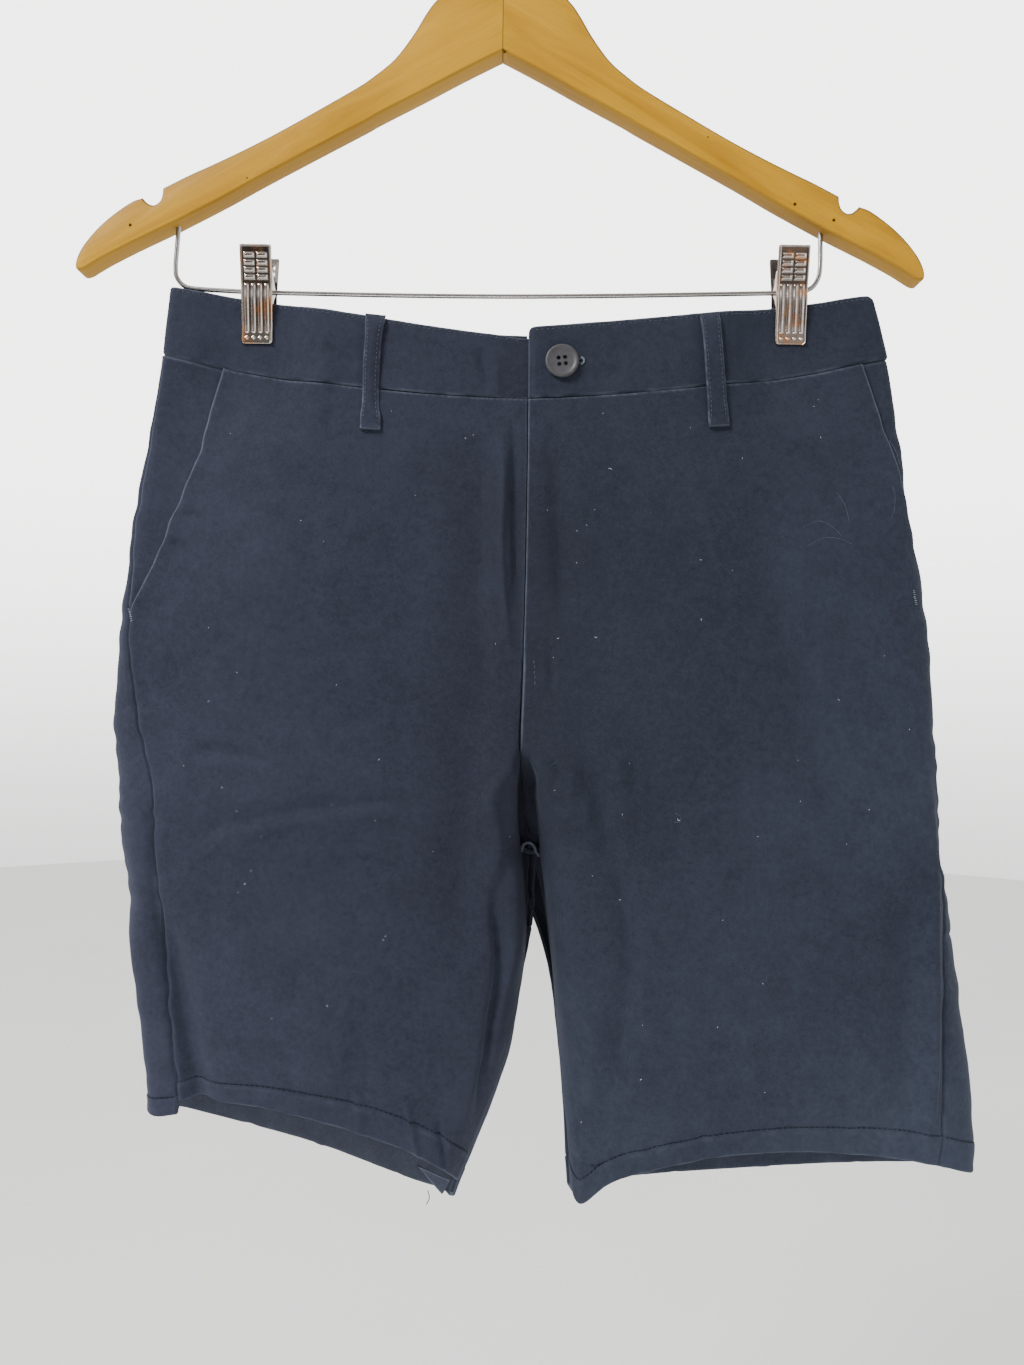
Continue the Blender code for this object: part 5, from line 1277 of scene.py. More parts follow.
def arm(name, side):
    pts = []
    for run, per in ((ARM_TOP, 7), (NOTCH, 5), (ARM_TIP, 7), (ARM_UNDER, 4)):
        pts += [(p[0], p[1]) for p in smooth_path([(x, z) for x, z in run], per)]
    pts[0] = (0.15, pts[0][1])
    pts[-1] = (0.15, pts[-1][1])
    pts = [(side * max(x, 0.15), z) for x, z in pts]
    clean = [pts[0]]
    for p in pts[1:]:
        if math.dist(p, clean[-1]) > 0.25:
            clean.append(p)
    ob = bevelled(name, clean, HANGER_THICK / 2, 1.5, 5, WOOD[side])
    bm = bmesh.new()
    holes = [(108.0, -147.7, 0.45), (154.0, -182.2, 0.95), (174.5, -190.3, 0.95)] if side > 0 else \
        [(-193.9, -197.4, 0.9), (-133.0, -172.0, 0.5)]
    for x, z, r in holes:
        m = Matrix.Translation((x * MM, (-HANGER_THICK / 2 + 0.9) * MM, z * MM)) @ Matrix.Rotation(math.pi / 2, 4, "X")
        bmesh.ops.create_cone(bm, cap_ends=True, segments=20, radius1=r * 0.8 * MM, radius2=r * MM, depth=2.6 * MM, matrix=m)
    chip = Matrix.Translation((0.2 * MM, (-HANGER_THICK / 2 + 0.6) * MM, -105.0 * MM)) @ Matrix.Rotation(0.5, 4, "Y")
    bmesh.ops.create_cone(bm, cap_ends=True, segments=7, radius1=0.9 * MM, radius2=1.5 * MM, depth=4.6 * MM,
                          matrix=chip)
    cut_me = bpy.data.meshes.new(name + "_holes")
    bm.to_mesh(cut_me)
    bm.free()
    cut = bpy.data.objects.new(name + "_holes", cut_me)
    COLL.objects.link(cut)
    mod = ob.modifiers.new("holes", "BOOLEAN")
    mod.operation, mod.object, mod.solver = "DIFFERENCE", cut, "EXACT"
    bpy.context.view_layer.update()
    done = bpy.data.meshes.new_from_object(ob.evaluated_get(bpy.context.evaluated_depsgraph_get()))
    ob.modifiers.clear()
    old = ob.data
    ob.data = done
    bpy.data.meshes.remove(old)
    done.name = name
    bpy.data.objects.remove(cut)
    me = ob.data
    # darker along the top edges; painted shade on the underside and its lower edges, more on the wearer's left arm
    n = len(me.vertices)
    co, nr = np.empty(n * 3, np.float32), np.empty(n * 3, np.float32)
    me.vertices.foreach_get("co", co)
    me.vertices.foreach_get("normal", nr)
    y, up = np.abs(co[1::3]) / MM, nr[2::3]
    edge = (y > HANGER_THICK / 2 - 1.45) & (y < HANGER_THICK / 2 - 0.03)
    w = np.where(edge & (up > 0.1), 1.0, 0.0) + np.where(edge & (up < -0.1), 0.35, 0.0)
    w += np.where((up < -0.5) & (y < HANGER_THICK / 2 - 1.3), 1.0 if side > 0 else 0.8, 0.0)
    at = me.attributes.get("wear_and_shading") or me.attributes.new("wear_and_shading", "FLOAT", "POINT")
    at.data.foreach_set("value", np.clip(w, 0, 1).astype(np.float32))
    return ob


def wire(name, pts, dia, mat, res=7):
    cu = bpy.data.curves.new(name, "CURVE")
    cu.dimensions = "3D"
    cu.bevel_depth = dia / 2 * MM
    cu.bevel_resolution = res
    cu.use_fill_caps = True
    sp = cu.splines.new("POLY")
    sp.points.add(len(pts) - 1)
    for p, co in zip(sp.points, pts):
        p.co = (*(Vector(co) * MM), 1)
    src = bpy.data.objects.new(name + "_path", cu)
    COLL.objects.link(src)
    bpy.context.view_layer.update()
    dg = bpy.context.evaluated_depsgraph_get()
    mesh = bpy.data.meshes.new_from_object(src.evaluated_get(dg))
    mesh.name = name
    bpy.data.objects.remove(src)
    bm = bmesh.new()
    bm.from_mesh(mesh)
    bmesh.ops.remove_doubles(bm, verts=bm.verts, dist=1e-6)
    bmesh.ops.recalc_face_normals(bm, faces=bm.faces)
    bm.to_mesh(mesh)
    bm.free()
    mesh.materials.clear()
    ob = finish_mesh(name, mesh, mat, sharp=50)
    return ob


def hook_points():
    r = HOOK_INSIDE + HOOK_WIRE / 2
    cz = -HOOK_INSIDE
    pts = [(0, 0, CROWN_Z - 20), (0, 0, CROWN_Z - 6), (0, 0, CROWN_Z + 4)]
    pts += [tuple(p) for p in smooth_path([(0, 0, CROWN_Z + 4), (0.6, 0, -50.5), (4.6, 0, -44.6),
                                           (r * math.cos(-0.98), 0, cz + r * math.sin(-0.98))], 10)[1:]]
    for k in range(1, 81):
        a = -0.98 + (math.pi + 0.98 + 0.42) * k / 80
        pts.append((r * math.cos(a), 0, cz + r * math.sin(a)))
    return pts


def bar_points():
    return smooth_path([(-170.8, 0, -190), (-170.8, 0, -199), (-171.6, 0, -210), (-171.9, 0, -216),
                        (-171.2, 0, -222.0), (-167.0, 0, -226.6), (-160.0, 0, -228.0), (-140, 0, -229.0),
                        (-127.5, 0, BAR_Z[-1]), (-100, 0, -229.8), (-50, 0, -230.2), (6, 0, -230.0),
                        (60, 0, -229.0), (110, 0, -227.6), (153.3, 0, BAR_Z[1]), (158, 0, -226.0),
                        (164.8, 0, -223.6), (168.4, 0, -218.6), (169.4, 0, -212.0), (169.4, 0, -199),
                        (169.4, 0, -190)], 8)


# side view of one jaw, grip at the top and tooth at the foot: distance in front, height
JAW = ((9.6, 0.0), (9.2, -4.0), (6.9, -15.0), (5.6, -21.0), (5.4, -27.0), (4.6, -33.0), (3.6, -40.0),
       (3.4, -46.0), (3.4, -50.0))
# pressed relief: bars in rows down the grip, ribs down the jaw, small teeth at the foot
GRIP_ROWS = (-5.4, -9.0, -12.5, -16.0)
RIB_X = (-5.25, -1.75, 1.75, 5.25)


def pressed(x, z, rear):
    """Height of the pressed relief at x across and z down the plate (mm)."""
    h = np.zeros_like(x)
    for zr in GRIP_ROWS:
        for xc in (-3.35, 3.35):
            q = np.minimum((1.30 - np.abs(z - zr)) / 0.75, (2.95 - np.abs(x - xc)) / 1.15)
            h = np.maximum(h, 0.80 * np.clip(q, 0, 1) - 0.16 * np.clip(q - 1, 0, 1))
    if not rear:
        for xr in RIB_X:
            body = np.clip(1 - ((x - xr) / 1.05) ** 2, 0, 1)
            zend = np.where(z > -31, z + 20.4, -43.2 - z)
            cap = np.where(zend > 0, np.clip(1 - (zend / 1.05) ** 2, 0, 1), 1.0)
            h = np.maximum(h, 0.62 * np.sqrt(np.clip(body * cap, 0, 1)))
            tri = 1 - np.abs(x - xr) / 1.3 - np.abs(z + 46.9) / 1.1
            h = np.maximum(h, 0.7 * np.clip(tri, 0, 1) ** 0.8)
    return h


def clip_plate(name, side, front):
    y = -1.0 if front else 1.0
    prof = smooth_path(JAW, 12)
    run = np.concatenate([[0], np.cumsum(np.linalg.norm(np.diff(prof, axis=0), axis=1))])
    us = np.concatenate([[0, 0.12, 0.3, 0.55], np.linspace(0.9, run[-1] - 0.9, 168 if front else 80),
                         [run[-1] - 0.55, run[-1] - 0.3, run[-1] - 0.12, run[-1]]])
    half = CLIP_WIDE / 2
    xs = np.concatenate([[-half, -half + 0.08, -half + 0.2, -half + 0.4], np.linspace(-half + 0.65, half - 0.65, 62 if front else 36),
                         [half - 0.4, half - 0.2, half - 0.08, half]])
    outer, inner, wear_and_shading = [], [], []
    for u in us:
        d = np.interp(u, run, prof[:, 0])
        z = np.interp(u, run, prof[:, 1])
        e = 0.5
        dd = np.interp(min(u + e, run[-1]), run, prof[:, 0]) - np.interp(max(u - e, 0), run, prof[:, 0])
        dz = np.interp(min(u + e, run[-1]), run, prof[:, 1]) - np.interp(max(u - e, 0), run, prof[:, 1])
        L = math.hypot(dd, dz)
        nd, nz = -dz / L, dd / L        # outward in the side view
        # round the corners at the foot and the head
        foot = run[-1] - u
        cut = 0.0
        for rr, dist in ((1.6, foot), (0.8, u)):
            if dist < rr:
                cut = max(cut, rr - math.sqrt(max(rr * rr - (rr - dist) ** 2, 0)))
        x = xs * (half - cut) / half
        h = pressed(x, np.full_like(x, z), not front)
        border = np.minimum(np.minimum(half - np.abs(xs), u), run[-1] - u)
        roll = 0.55 * (1 - np.sqrt(np.clip(1 - (1 - np.clip(border / 0.7, 0, 1)) ** 2, 0, 1)))
        lip = 0.34 * np.exp(-((half - np.abs(xs) - 0.75) / 0.42) ** 2) + 0.3 * math.exp(-((u - 0.8) / 0.45) ** 2)
        ho = 0.42 + h - roll + lip
        hi = -0.38 + 0.6 * h * (h > 0.05) * 0.5
        xx = CLIP_X[side] + x
        # darker on the flat between the pressed relief, more on the grip
        darkening = 1 - soft((h + 1.6 * lip) / 0.45)
        wear_and_shading.append(darkening * (0.75 if z > -19 else 0.45))
        outer.append(np.stack([xx, y * (d + nd * ho), CLIP_TOP[side] + z + nz * ho], 1))
        inner.append(np.stack([xx, y * (d + nd * hi), CLIP_TOP[side] + z + nz * hi], 1))
    ob = sheet_mesh(name, np.array(outer), np.array(inner), CHROME if front else CHROME_SHADED,
                    wear_and_shading=np.array(wear_and_shading), sharp=60)
    return ob


# the ears of a jaw at the bar, side view: distance in front of the bar, height over it
EAR_FRONT = ((6.4, 8.5), (5.2, 3.0), (5.0, -3.0), (4.2, -9.0), (1.6, -5.0), (-1.2, -2.4), (-2.6, 0.0),
             (-1.6, 2.4), (1.0, 4.4), (4.4, 9.5))


def ears(name, side, front):
    """Two side flanges that fold back from a jaw to the bar."""
    y = -1.0 if front else 1.0
    inset = 0.0 if front else 1.0
    bm = bmesh.new()
    pts = smooth_path(EAR_FRONT + EAR_FRONT[:1], 4)[:-1]
    for k in (-1, 1):
        x0 = CLIP_X[side] + k * (CLIP_WIDE / 2 - 0.45 - inset)
        f = bm.faces.new([bm.verts.new(((x0 - 0.35) * MM, y * d * MM, (BAR_Z[side] + z) * MM)) for d, z in pts])
        r = bmesh.ops.extrude_face_region(bm, geom=[f])
        bmesh.ops.translate(bm, verts=[v for v in r["geom"] if isinstance(v, bmesh.types.BMVert)],
                            vec=(0.7 * MM, 0, 0))
    bmesh.ops.recalc_face_normals(bm, faces=bm.faces)
    caps = [f for f in bm.faces if len(f.verts) > 4]
    bmesh.ops.bevel(bm, geom=list({e for f in caps for e in f.edges}), offset=0.2 * MM, segments=2,
                    affect="EDGES")
    mesh = bpy.data.meshes.new(name)
    bm.to_mesh(mesh)
    bm.free()
    ob = finish_mesh(name, mesh, CHROME if front else CHROME_SHADED, sharp=35)
    return ob


def coil(name, side):
    r, turns, n = 3.0, 6, 22
    x0 = CLIP_X[side]
    pts = []
    for k in range(turns * n + 1):
        a = 2 * math.pi * k / n
        pts.append((x0 - 4.4 + 8.8 * k / (turns * n), r * math.cos(a), BAR_Z[side] + r * math.sin(a)))
    ob = wire(name, pts, 1.1, SPRING, 3)
    return ob


# ------------------------------------------------------------ button
def button():
    t, c = 0.515, 17.4
    p, n = across(t, c, 0.45, False)
    r = BUTTON_DIA / 2
    profile = smooth_path([(0.0, 2.30), (r * 0.30, 2.3), (r * 0.56, 2.36), (r * 0.70, 2.50), (r * 0.78, 2.78),
                           (r * 0.86, 3.02), (r * 0.94, 2.92), (r * 0.99, 2.40), (r, 1.5), (r * 0.93, 0.6),
                           (r * 0.80, 0.2), (r * 0.5, 0.05), (0.0, 0.0)], 4)
    bm = bmesh.new()
    seg = 96
    rings = []
    for q in profile[1:-1]:
        rings.append([bm.verts.new((q[0] * math.cos(2 * math.pi * k / seg), q[0] * math.sin(2 * math.pi * k / seg), q[1]))
                      for k in range(seg)])
    top, bottom = bm.verts.new((0, 0, profile[0][1])), bm.verts.new((0, 0, 0))
    for a, b in zip(rings, rings[1:]):
        for k in range(seg):
            bm.faces.new((a[k], b[k], b[(k + 1) % seg], a[(k + 1) % seg]))
    for k in range(seg):
        bm.faces.new((top, rings[0][k], rings[0][(k + 1) % seg]))
        bm.faces.new((bottom, rings[-1][(k + 1) % seg], rings[-1][k]))
    bmesh.ops.recalc_face_normals(bm, faces=bm.faces)
    mesh = bpy.data.meshes.new("button_disc")
    bm.to_mesh(mesh)
    bm.free()
    turn = Vector(n).to_track_quat("Z", "Y").to_matrix().to_4x4()
    place = Matrix.Translation(Vector(p) * MM) @ turn @ Matrix.Scale(MM, 4)
    ob = bpy.data.objects.new("button_disc", mesh)
    COLL.objects.link(ob)
    # four thread holes
    cut_me = bpy.data.meshes.new("button_holes")
    bm = bmesh.new()
    for k in range(4):
        a = math.pi / 4 + k * math.pi / 2 + 0.12
        m = Matrix.Translation((2.35 * math.cos(a), 2.35 * math.sin(a), 1.5))
        bmesh.ops.create_cone(bm, cap_ends=True, segments=24, radius1=1.08, radius2=1.08, depth=6, matrix=m)
    bm.to_mesh(cut_me)
    bm.free()
    cut = bpy.data.objects.new("button_holes", cut_me)
    COLL.objects.link(cut)
    mod = ob.modifiers.new("holes", "BOOLEAN")
    mod.operation, mod.object, mod.solver = "DIFFERENCE", cut, "EXACT"
    bpy.context.view_layer.update()
    dg = bpy.context.evaluated_depsgraph_get()
    done = bpy.data.meshes.new_from_object(ob.evaluated_get(dg))
    bpy.data.objects.remove(ob)
    bpy.data.objects.remove(cut)
    done.transform(place)
    done.materials.clear()
    done.name = "button_disc"
    disc = finish_mesh("button_disc", done, BUTTON, sharp=38)
    # sewing thread through the holes, and its shank
    pts = []
    inv = place
    def at(x, y, z):
        v = inv @ Vector((x, y, z))
        return tuple(v / MM)
    corner = [(2.35 * math.cos(math.pi / 4 + k * math.pi / 2 + 0.12), 2.35 * math.sin(math.pi / 4 + k * math.pi / 2 + 0.12))
              for k in range(4)]
    threads = []
    for a, b in ((0, 2), (1, 3)):
        for off in (-0.28, 0.28):
            (x0, y0), (x1, y1) = corner[a], corner[b]
            L = math.hypot(x1 - x0, y1 - y0)
            ox, oy = -(y1 - y0) / L * off, (x1 - x0) / L * off
            run = [(x0 + ox, y0 + oy, 1.05), (x0 + ox, y0 + oy, -0.2), (ox, oy, -0.5 - 0.2 * (a == 1)),
                   (x1 + ox, y1 + oy, -0.2), (x1 + ox, y1 + oy, 1.05)]
            threads.append([at(*q) for q in smooth_path(run, 4)])
    parts = []
    for i, q in enumerate(threads):
        parts.append(wire("button_thread_%d" % i, q, 0.42, THREAD_BUTTON, 2))
    return disc, parts


def join(name, obs):
    """Join meshes that share a material into one piece."""
    bm = bmesh.new()
    for o in obs:
        me = o.data.copy()
        me.transform(o.matrix_world)
        bm.from_mesh(me)
        bpy.data.meshes.remove(me)
    mesh = bpy.data.meshes.new(name)
    bm.to_mesh(mesh)
    bm.free()
    mat = obs[0].data.materials[0]
    for o in obs:
        bpy.data.objects.remove(o)
    return finish_mesh(name, mesh, mat, sharp=45)


# ------------------------------------------------------------ belt loops
# name, side, measured from, mm, lean, width half way down, twist (mm)
LOOPS = (
    ("belt_loop_front_right", -1, "front", 79.8, 0.8, 0.80, 0.8),
    ("belt_loop_front_left", +1, "front", 94.6, 2.6, 0.96, -0.5),
    ("belt_loop_back_right", -1, "back", 95.0, 0.0, 0.86, 0.5),
    ("belt_loop_back_left", +1, "back", 95.0, 0.0, 0.90, -0.6),
    ("belt_loop_back_centre", +1, "centre", 0.0, 0.0, 0.88, 0.3),
)
LOOP_PATH = ((0.022, -0.6, 0.9), (0.05, -0.1, 1.3), (0.10, 0.6, 1.6), (0.18, 1.6, 1.6), (0.38, 2.5, 1.6), (0.70, 2.5, 1.6),
             (1.0, 2.1, 1.6), (1.40, 1.2, 1.6), (1.47, 0.6, 1.9), (1.54, 0.4, 2.1), (1.62, 0.3, 2.4))


def loop_line(side, where, t, d, out):
    """Points out from the cloth at level t, distances d from the edge or the centre back."""
    d = np.atleast_1d(np.asarray(d, float))
    t = np.maximum(np.broadcast_to(t, d.shape), 0.0)
    out = np.broadcast_to(out, d.shape)[:, None]
    if where == "centre":
        both = []
        for k in (-1, 1):
            seam, total = HALF[k].span(t)
            both.append(HALF[k].frame(t, 2 - np.abs(d) / (total - seam)))
        pick = (d >= 0)[:, None]
        p, n = (np.where(pick, both[1][i], both[0][i]) for i in (0, 1))
    else:
        h = HALF[side]
        seam, total = h.span(t)
        p, n, _ = h.frame(t, d / seam if where == "front" else 2 - d / (total - seam))
    return p + n * out, n


def loop(name, side, where, mm, lean, waist, twist, seed):
    path = smooth_path(LOOP_PATH, 9)
    outer, inner, uv, wear_and_shading = [], [], [], []
    runs_at = np.concatenate([[0], np.cumsum(np.abs(np.diff(path[:, 0])) * 35 + 0.02)])
    bow = 5.0
    ks = np.array([-1, -0.955, -0.89, -0.80, -0.66, -0.45, -0.2, 0.05, 0.3, 0.52, 0.70, 0.82, 0.90, 0.96, 1.0])

    def shape(t, run):
        free = float(soft((t - 0.08) / 0.30) * soft((1.46 - t) / 0.26))
        half = LOOP_WIDE / 2 * (1 - (1 - waist) * free ** 0.8)
        return free, half * (1 + 0.03 * float(noise2(np.array(run / 9.0), np.array(0.4), seed)))

    for (t, out, thick), run in zip(path, runs_at):
        free, half = shape(t, run)
        d = mm + ks * half + lean * t + bow * math.sin(math.pi * min(max((t - 0.1) / 1.4, 0), 1)) * (1 - waist)
        edge = (1 - np.abs(ks)) * half
        o = out + thick - 0.75 * np.exp(-(edge / 0.5) ** 2) + twist * ks * free
        o -= 0.22 * np.exp(-((edge - 1.7) / 0.35) ** 2)
        o += 0.16 * noise2(np.full_like(ks, run / 4.0), ks * 1.5, seed + 1)
        curl = (1 - waist) * 5.5 * free * ks * ks
        outer.append(loop_line(side, where, t, d, o - curl)[0])
        low = np.maximum(out + twist * ks * free - curl, 0.25) + 0.5 * np.exp(-(edge / 0.5) ** 2)
        inner.append(loop_line(side, where, t, d, low)[0])
        uv.append(np.stack([ks * half + 300, 0 * ks - run], -1))
        e = np.exp(-((edge - 0.25) / 0.55) ** 2)
        patch = 0.45 + 0.5 * noise2(np.full_like(ks, run / 2.2), ks * 0.4, seed + 2)
        wear_and_shading.append(np.clip(e * patch * 0.9, 0, 1))
    wear_and_shading[0] = wear_and_shading[-1] = np.full(len(ks), 0.5)
    ob = sheet_mesh(name.replace("belt_loop", "cloth_loop"), np.array(outer), np.array(inner), TWILL,
                    np.array(uv), np.array(wear_and_shading))
    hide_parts(name)
    # bar tacks hold both ends
    runs = []
    for t0, t1 in ((0.085, 0.120), (1.485, 1.530)):
        tt = np.linspace(t0, t1, 5)
        up = np.interp(tt, path[:, 0], path[:, 1] + path[:, 2]) + 0.05
        for d in np.arange(-LOOP_WIDE / 2 + 0.2, LOOP_WIDE / 2 - 0.1, 0.62 if t0 > 1 else 2.4):
            runs.append(loop_line(side, where, tt, mm + d + lean * tt, up))
    TACK_RUNS.append((runs, THREAD_PALE))
    sides = []
    for k in (-1, 1):
        pts, nrm = [], []
        for (t, out, thick), run in list(zip(path, runs_at))[10:-12:2]:
            free, half = shape(t, run)
            kk = k * (1 - 1.7 / half)
            curl = (1 - waist) * 5.5 * free * kk * kk
            shove = bow * math.sin(math.pi * min(max((t - 0.1) / 1.4, 0), 1)) * (1 - waist)
            q, n = loop_line(side, where, t, mm + kk * half + lean * t + shove, out + thick + twist * kk * free - curl - 0.12)
            pts.append(q[0]), nrm.append(n[0])
        sides.append((pts, nrm))
    TACK_RUNS.append((sides, THREAD))
    return ob


TACK_RUNS = []

# ------------------------------------------------------------ places on the cloth
GRIDS = {}


def locate(side, x, z, front=True):
    """Level and position of the cloth point seen at (x, z)."""
    key = (side, front)
    if key not in GRIDS:
        ts = np.linspace(0, 10, 501)
        ss = np.linspace(0, 1, 501) if front else np.linspace(1, 2, 501)
        g = HALF[side].P
        GRIDS[key] = (ts, ss, g[:, :501] if front else g[:, 500:])
    ts, ss, g = GRIDS[key]
    d = (g[..., 0] - x) ** 2 + (g[..., 2] - z) ** 2
    d += np.where(g[..., 1] > 8, 400, 0) if front else np.where(g[..., 1] < -8, 400, 0)
    i, j = np.unravel_index(np.argmin(d), d.shape)
    return ts[i], ss[j]


def spot(side, x, z, out=0.0, front=True):
    t, s = locate(side, x, z, front)
    p, n, a = HALF[side].frame(t, s)
    o = out + relief(side, p[:, 0], p[:, 2], a)[0]
    return p[0] + n[0] * o, n[0]


def dense_bar(side, a, b, width, pitch=0.55, front=True, out=0.3):
    """Bar tack: close stitches across a line from a to b on the cloth."""
    a, b = np.array(a, float), np.array(b, float)
    L = np.linalg.norm(b - a)
    d = (b - a) / L
    c = np.array([-d[1], d[0]]) * width / 2
    runs = []
    for u in np.arange(0, L, pitch):
        m = a + d * u
        q = [spot(side, *(m + c * k), out=out, front=front) for k in (-1, -0.5, 0, 0.5, 1)]
        runs.append(([v[0] for v in q], [v[1] for v in q]))
    return runs


# ------------------------------------------------------------ build
def stand(ob, *nodes):
    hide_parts(*nodes)
    return ob


SIDES = ((-1, "right"), (+1, "left"))
DONE = {}
for side, word in SIDES:
    DONE["cloth_front_" + word] = stand(panel("cloth_front_" + word, side, True, 108), "front_" + word)
    DONE["cloth_back_" + word] = stand(panel("cloth_back_" + word, side, False, 96), "back_" + word)
    DONE["cloth_facing_" + word] = stand(facing("cloth_facing_" + word, side), "pocket_facing_" + word)
    DONE["cloth_bag_" + word] = stand(bag("cloth_bag_" + word, side), "pocket_bag_" + word)
    DONE["cloth_band_" + word] = stand(band("cloth_band_" + word, side), "waistband_" + word)
for i, row in enumerate(LOOPS):
    DONE[row[0].replace("belt_loop", "cloth_loop")] = loop(*row, seed=200 + 7 * i)

allowance("allowance_front", True, 4.05, 7.02, 90, 7.0)
allowance("allowance_back", False, 1.05, 7.02, 120, 9.0)
DONE["cloth_underlap"] = stand(strip("cloth_underlap", -12.0, 38.0, 40, 1.01, 4.12, 90, 3.6, CLOTH, TWILL),
                               "fly_underlap")
DONE["zip_cloth"] = stand(strip("zip_cloth", 3.0, 29.0, 24, 1.34, 3.85, 60, CLOTH + SEAM_GAP, 0.8, TAPE),
                          "zip")
zip_teeth("zip_chain", 1.36, 3.83)


def slider(name):
    """Small zip slider with its pull, under the flap."""
    q, m = across(1.21, 16.0, -(CLOTH + 0.3 + 0.95))
    bm = bmesh.new()
    place = Matrix.Translation(Vector(q) * MM) @ Vector(m).to_track_quat("Z", "Y").to_matrix().to_4x4()
    for cx, cy, cz, sx, sy, sz in ((0, 0, 0, 6.6, 8.6, 1.7), (0, -0.5, 1.0, 2.2, 5.0, 0.5)):
        r = bmesh.ops.create_cube(bm, size=1.0, matrix=place @ Matrix.Translation((cx * MM, cy * MM, cz * MM))
                                  @ Matrix.Diagonal((sx * MM, sy * MM, sz * MM, 1)))
        bmesh.ops.bevel(bm, geom=list({e for v in r["verts"] for e in v.link_edges}), offset=0.35 * MM,
                        segments=2, affect="EDGES")
    mesh = bpy.data.meshes.new(name)
    bm.to_mesh(mesh)
    bm.free()
    ob = finish_mesh(name, mesh, ZIP_METAL, sharp=30)
    return ob


stand(slider("slider_body"), "zip_slider")

# hanger
for side, word in SIDES:
    stand(arm("wood_arm_" + word, side), "hanger_arm_" + word)
    stand(clip_plate("plate_front_" + word, side, True), "clip_front_" + word)
    stand(clip_plate("plate_rear_" + word, side, False), "clip_rear_" + word)
    ears("ears_front_" + word, side, True)
    ears("ears_rear_" + word, side, False)
    stand(coil("coil_" + word, side), "clip_spring_" + word)
GLUE = thread_material("glue line", (0.055, 0.030, 0.012), 0.6)
bevelled("mitre_glue", [(-0.17, -60.8), (0.17, -60.8), (0.17, -102.9), (-0.17, -102.9)], HANGER_THICK / 2 - 0.35, 0.05, 1,
         GLUE)
stand(wire("hook_wire", hook_points(), HOOK_WIRE, HOOK_MAT, 9), "hook")
stand(wire("bar_wire", [tuple(p) for p in bar_points()], BAR_DIA, STEEL, 7), "clip_bar")

disc, threads = button()
sewn = join("button_sewing", threads)
stand(disc, "button")

# ------------------------------------------------------------ sewing that shows
groups = {"navy": [], "hem": []}
for side, word in SIDES:
    h = HALF[side]
    seam, total = h.span(10)
    # hems
    for front in (True, False):
        s = np.linspace(0.006, 0.994, 260) + (0 if front else 1)
        t = h.hem_level(s, hem_depth(side, s) + hem_lift(side, s))
        p, n, a = h.frame(t, s)
        o = relief(side, p[:, 0], p[:, 2], a) - 0.10
        groups["hem"].append((p + n * o[:, None], n))
    # top of the waistband
    pts, nrm = band_line(side, 1.9, 0.0)
    groups["navy"].append((pts, nrm))
# fly: end of the stitching
runs_fly = []
for a, b, w in (((19.5, -412.0), (20.6, -436.0), 0.0),):
    line = [spot(1, a[0] + (b[0] - a[0]) * k / 30, a[1] + (b[1] - a[1]) * k / 30, out=0.0) for k in range(31)]
    runs_fly.append(([q[0] for q in line], [q[1] for q in line]))
groups["navy"] += runs_fly
stitch_navy = stitches("stitches", groups["navy"], THREAD, seed=5)
THREAD_DARK = thread_material("hem thread", (0.0060, 0.0080, 0.0140), 0.8, 0.06)
stitch_hem = stitches("stitches_hem", groups["hem"], THREAD_DARK, lift=0.02, seed=8)
tacks = []
for runs, mat in TACK_RUNS:
    if mat is THREAD:
        tacks += runs
stitch_loops = stitches("stitches_loops", tacks, THREAD, pitch=2.4, length=1.7, wide=0.36, lift=0.05, seed=6)
bars = []
for runs, mat in TACK_RUNS:
    if mat is THREAD_PALE:
        bars += runs
# pocket mouths end in a bar tack, by the outseam
bars += dense_bar(-1, (-189.4, -398.6), (-187.8, -405.2), 2.2)
bars += dense_bar(1, (216.2, -384.6), (217.4, -391.4), 2.0)
stitch_bars = stitches("bartacks", bars, THREAD_PALE, pitch=2.1, length=1.5, wide=0.5, lift=0.0, seed=7)

# buttonhole: purl stitches round a slit that runs out from under the button
purl = []
hole = [across(0.515, c, 0.22) for c in np.linspace(16.0, 27.2, 26)]
for k, (q, m) in enumerate(hole):
    q, m = np.asarray(q), np.asarray(m)
    up = np.array([0, 0, 1.0])
    for sgn in (-1, 1):
        purl.append(([q + up * sgn * v + m * 0.30 for v in (0.1, 0.7, 1.3, 1.95)], [m] * 4))
stitches("buttonhole_purl", purl, THREAD, pitch=2.0, length=1.2, wide=0.6, lift=0.0, seed=12)
purl = []
q, m = (np.asarray(v) for v in hole[-1])
for ang in np.linspace(-1.45, 1.45, 11):
    d = np.array([math.cos(ang), 0, math.sin(ang)])
    purl.append(([q + d * v + m * 0.30 for v in (0.7, 1.3, 1.9, 2.6)], [m] * 4))
stitches("buttonhole_end", purl, THREAD_PALE, pitch=2.0, length=1.2, wide=0.6, lift=0.0, seed=13)
# painted shade: a dark line of thread along the buttonhole, where the gap by the button lies in shade
buttonhole_shade = wire("buttonhole_shade_line", [tuple(np.asarray(q) + np.asarray(m) * 0.12) for q, m in hole], 0.62, THREAD_DARK, 2)

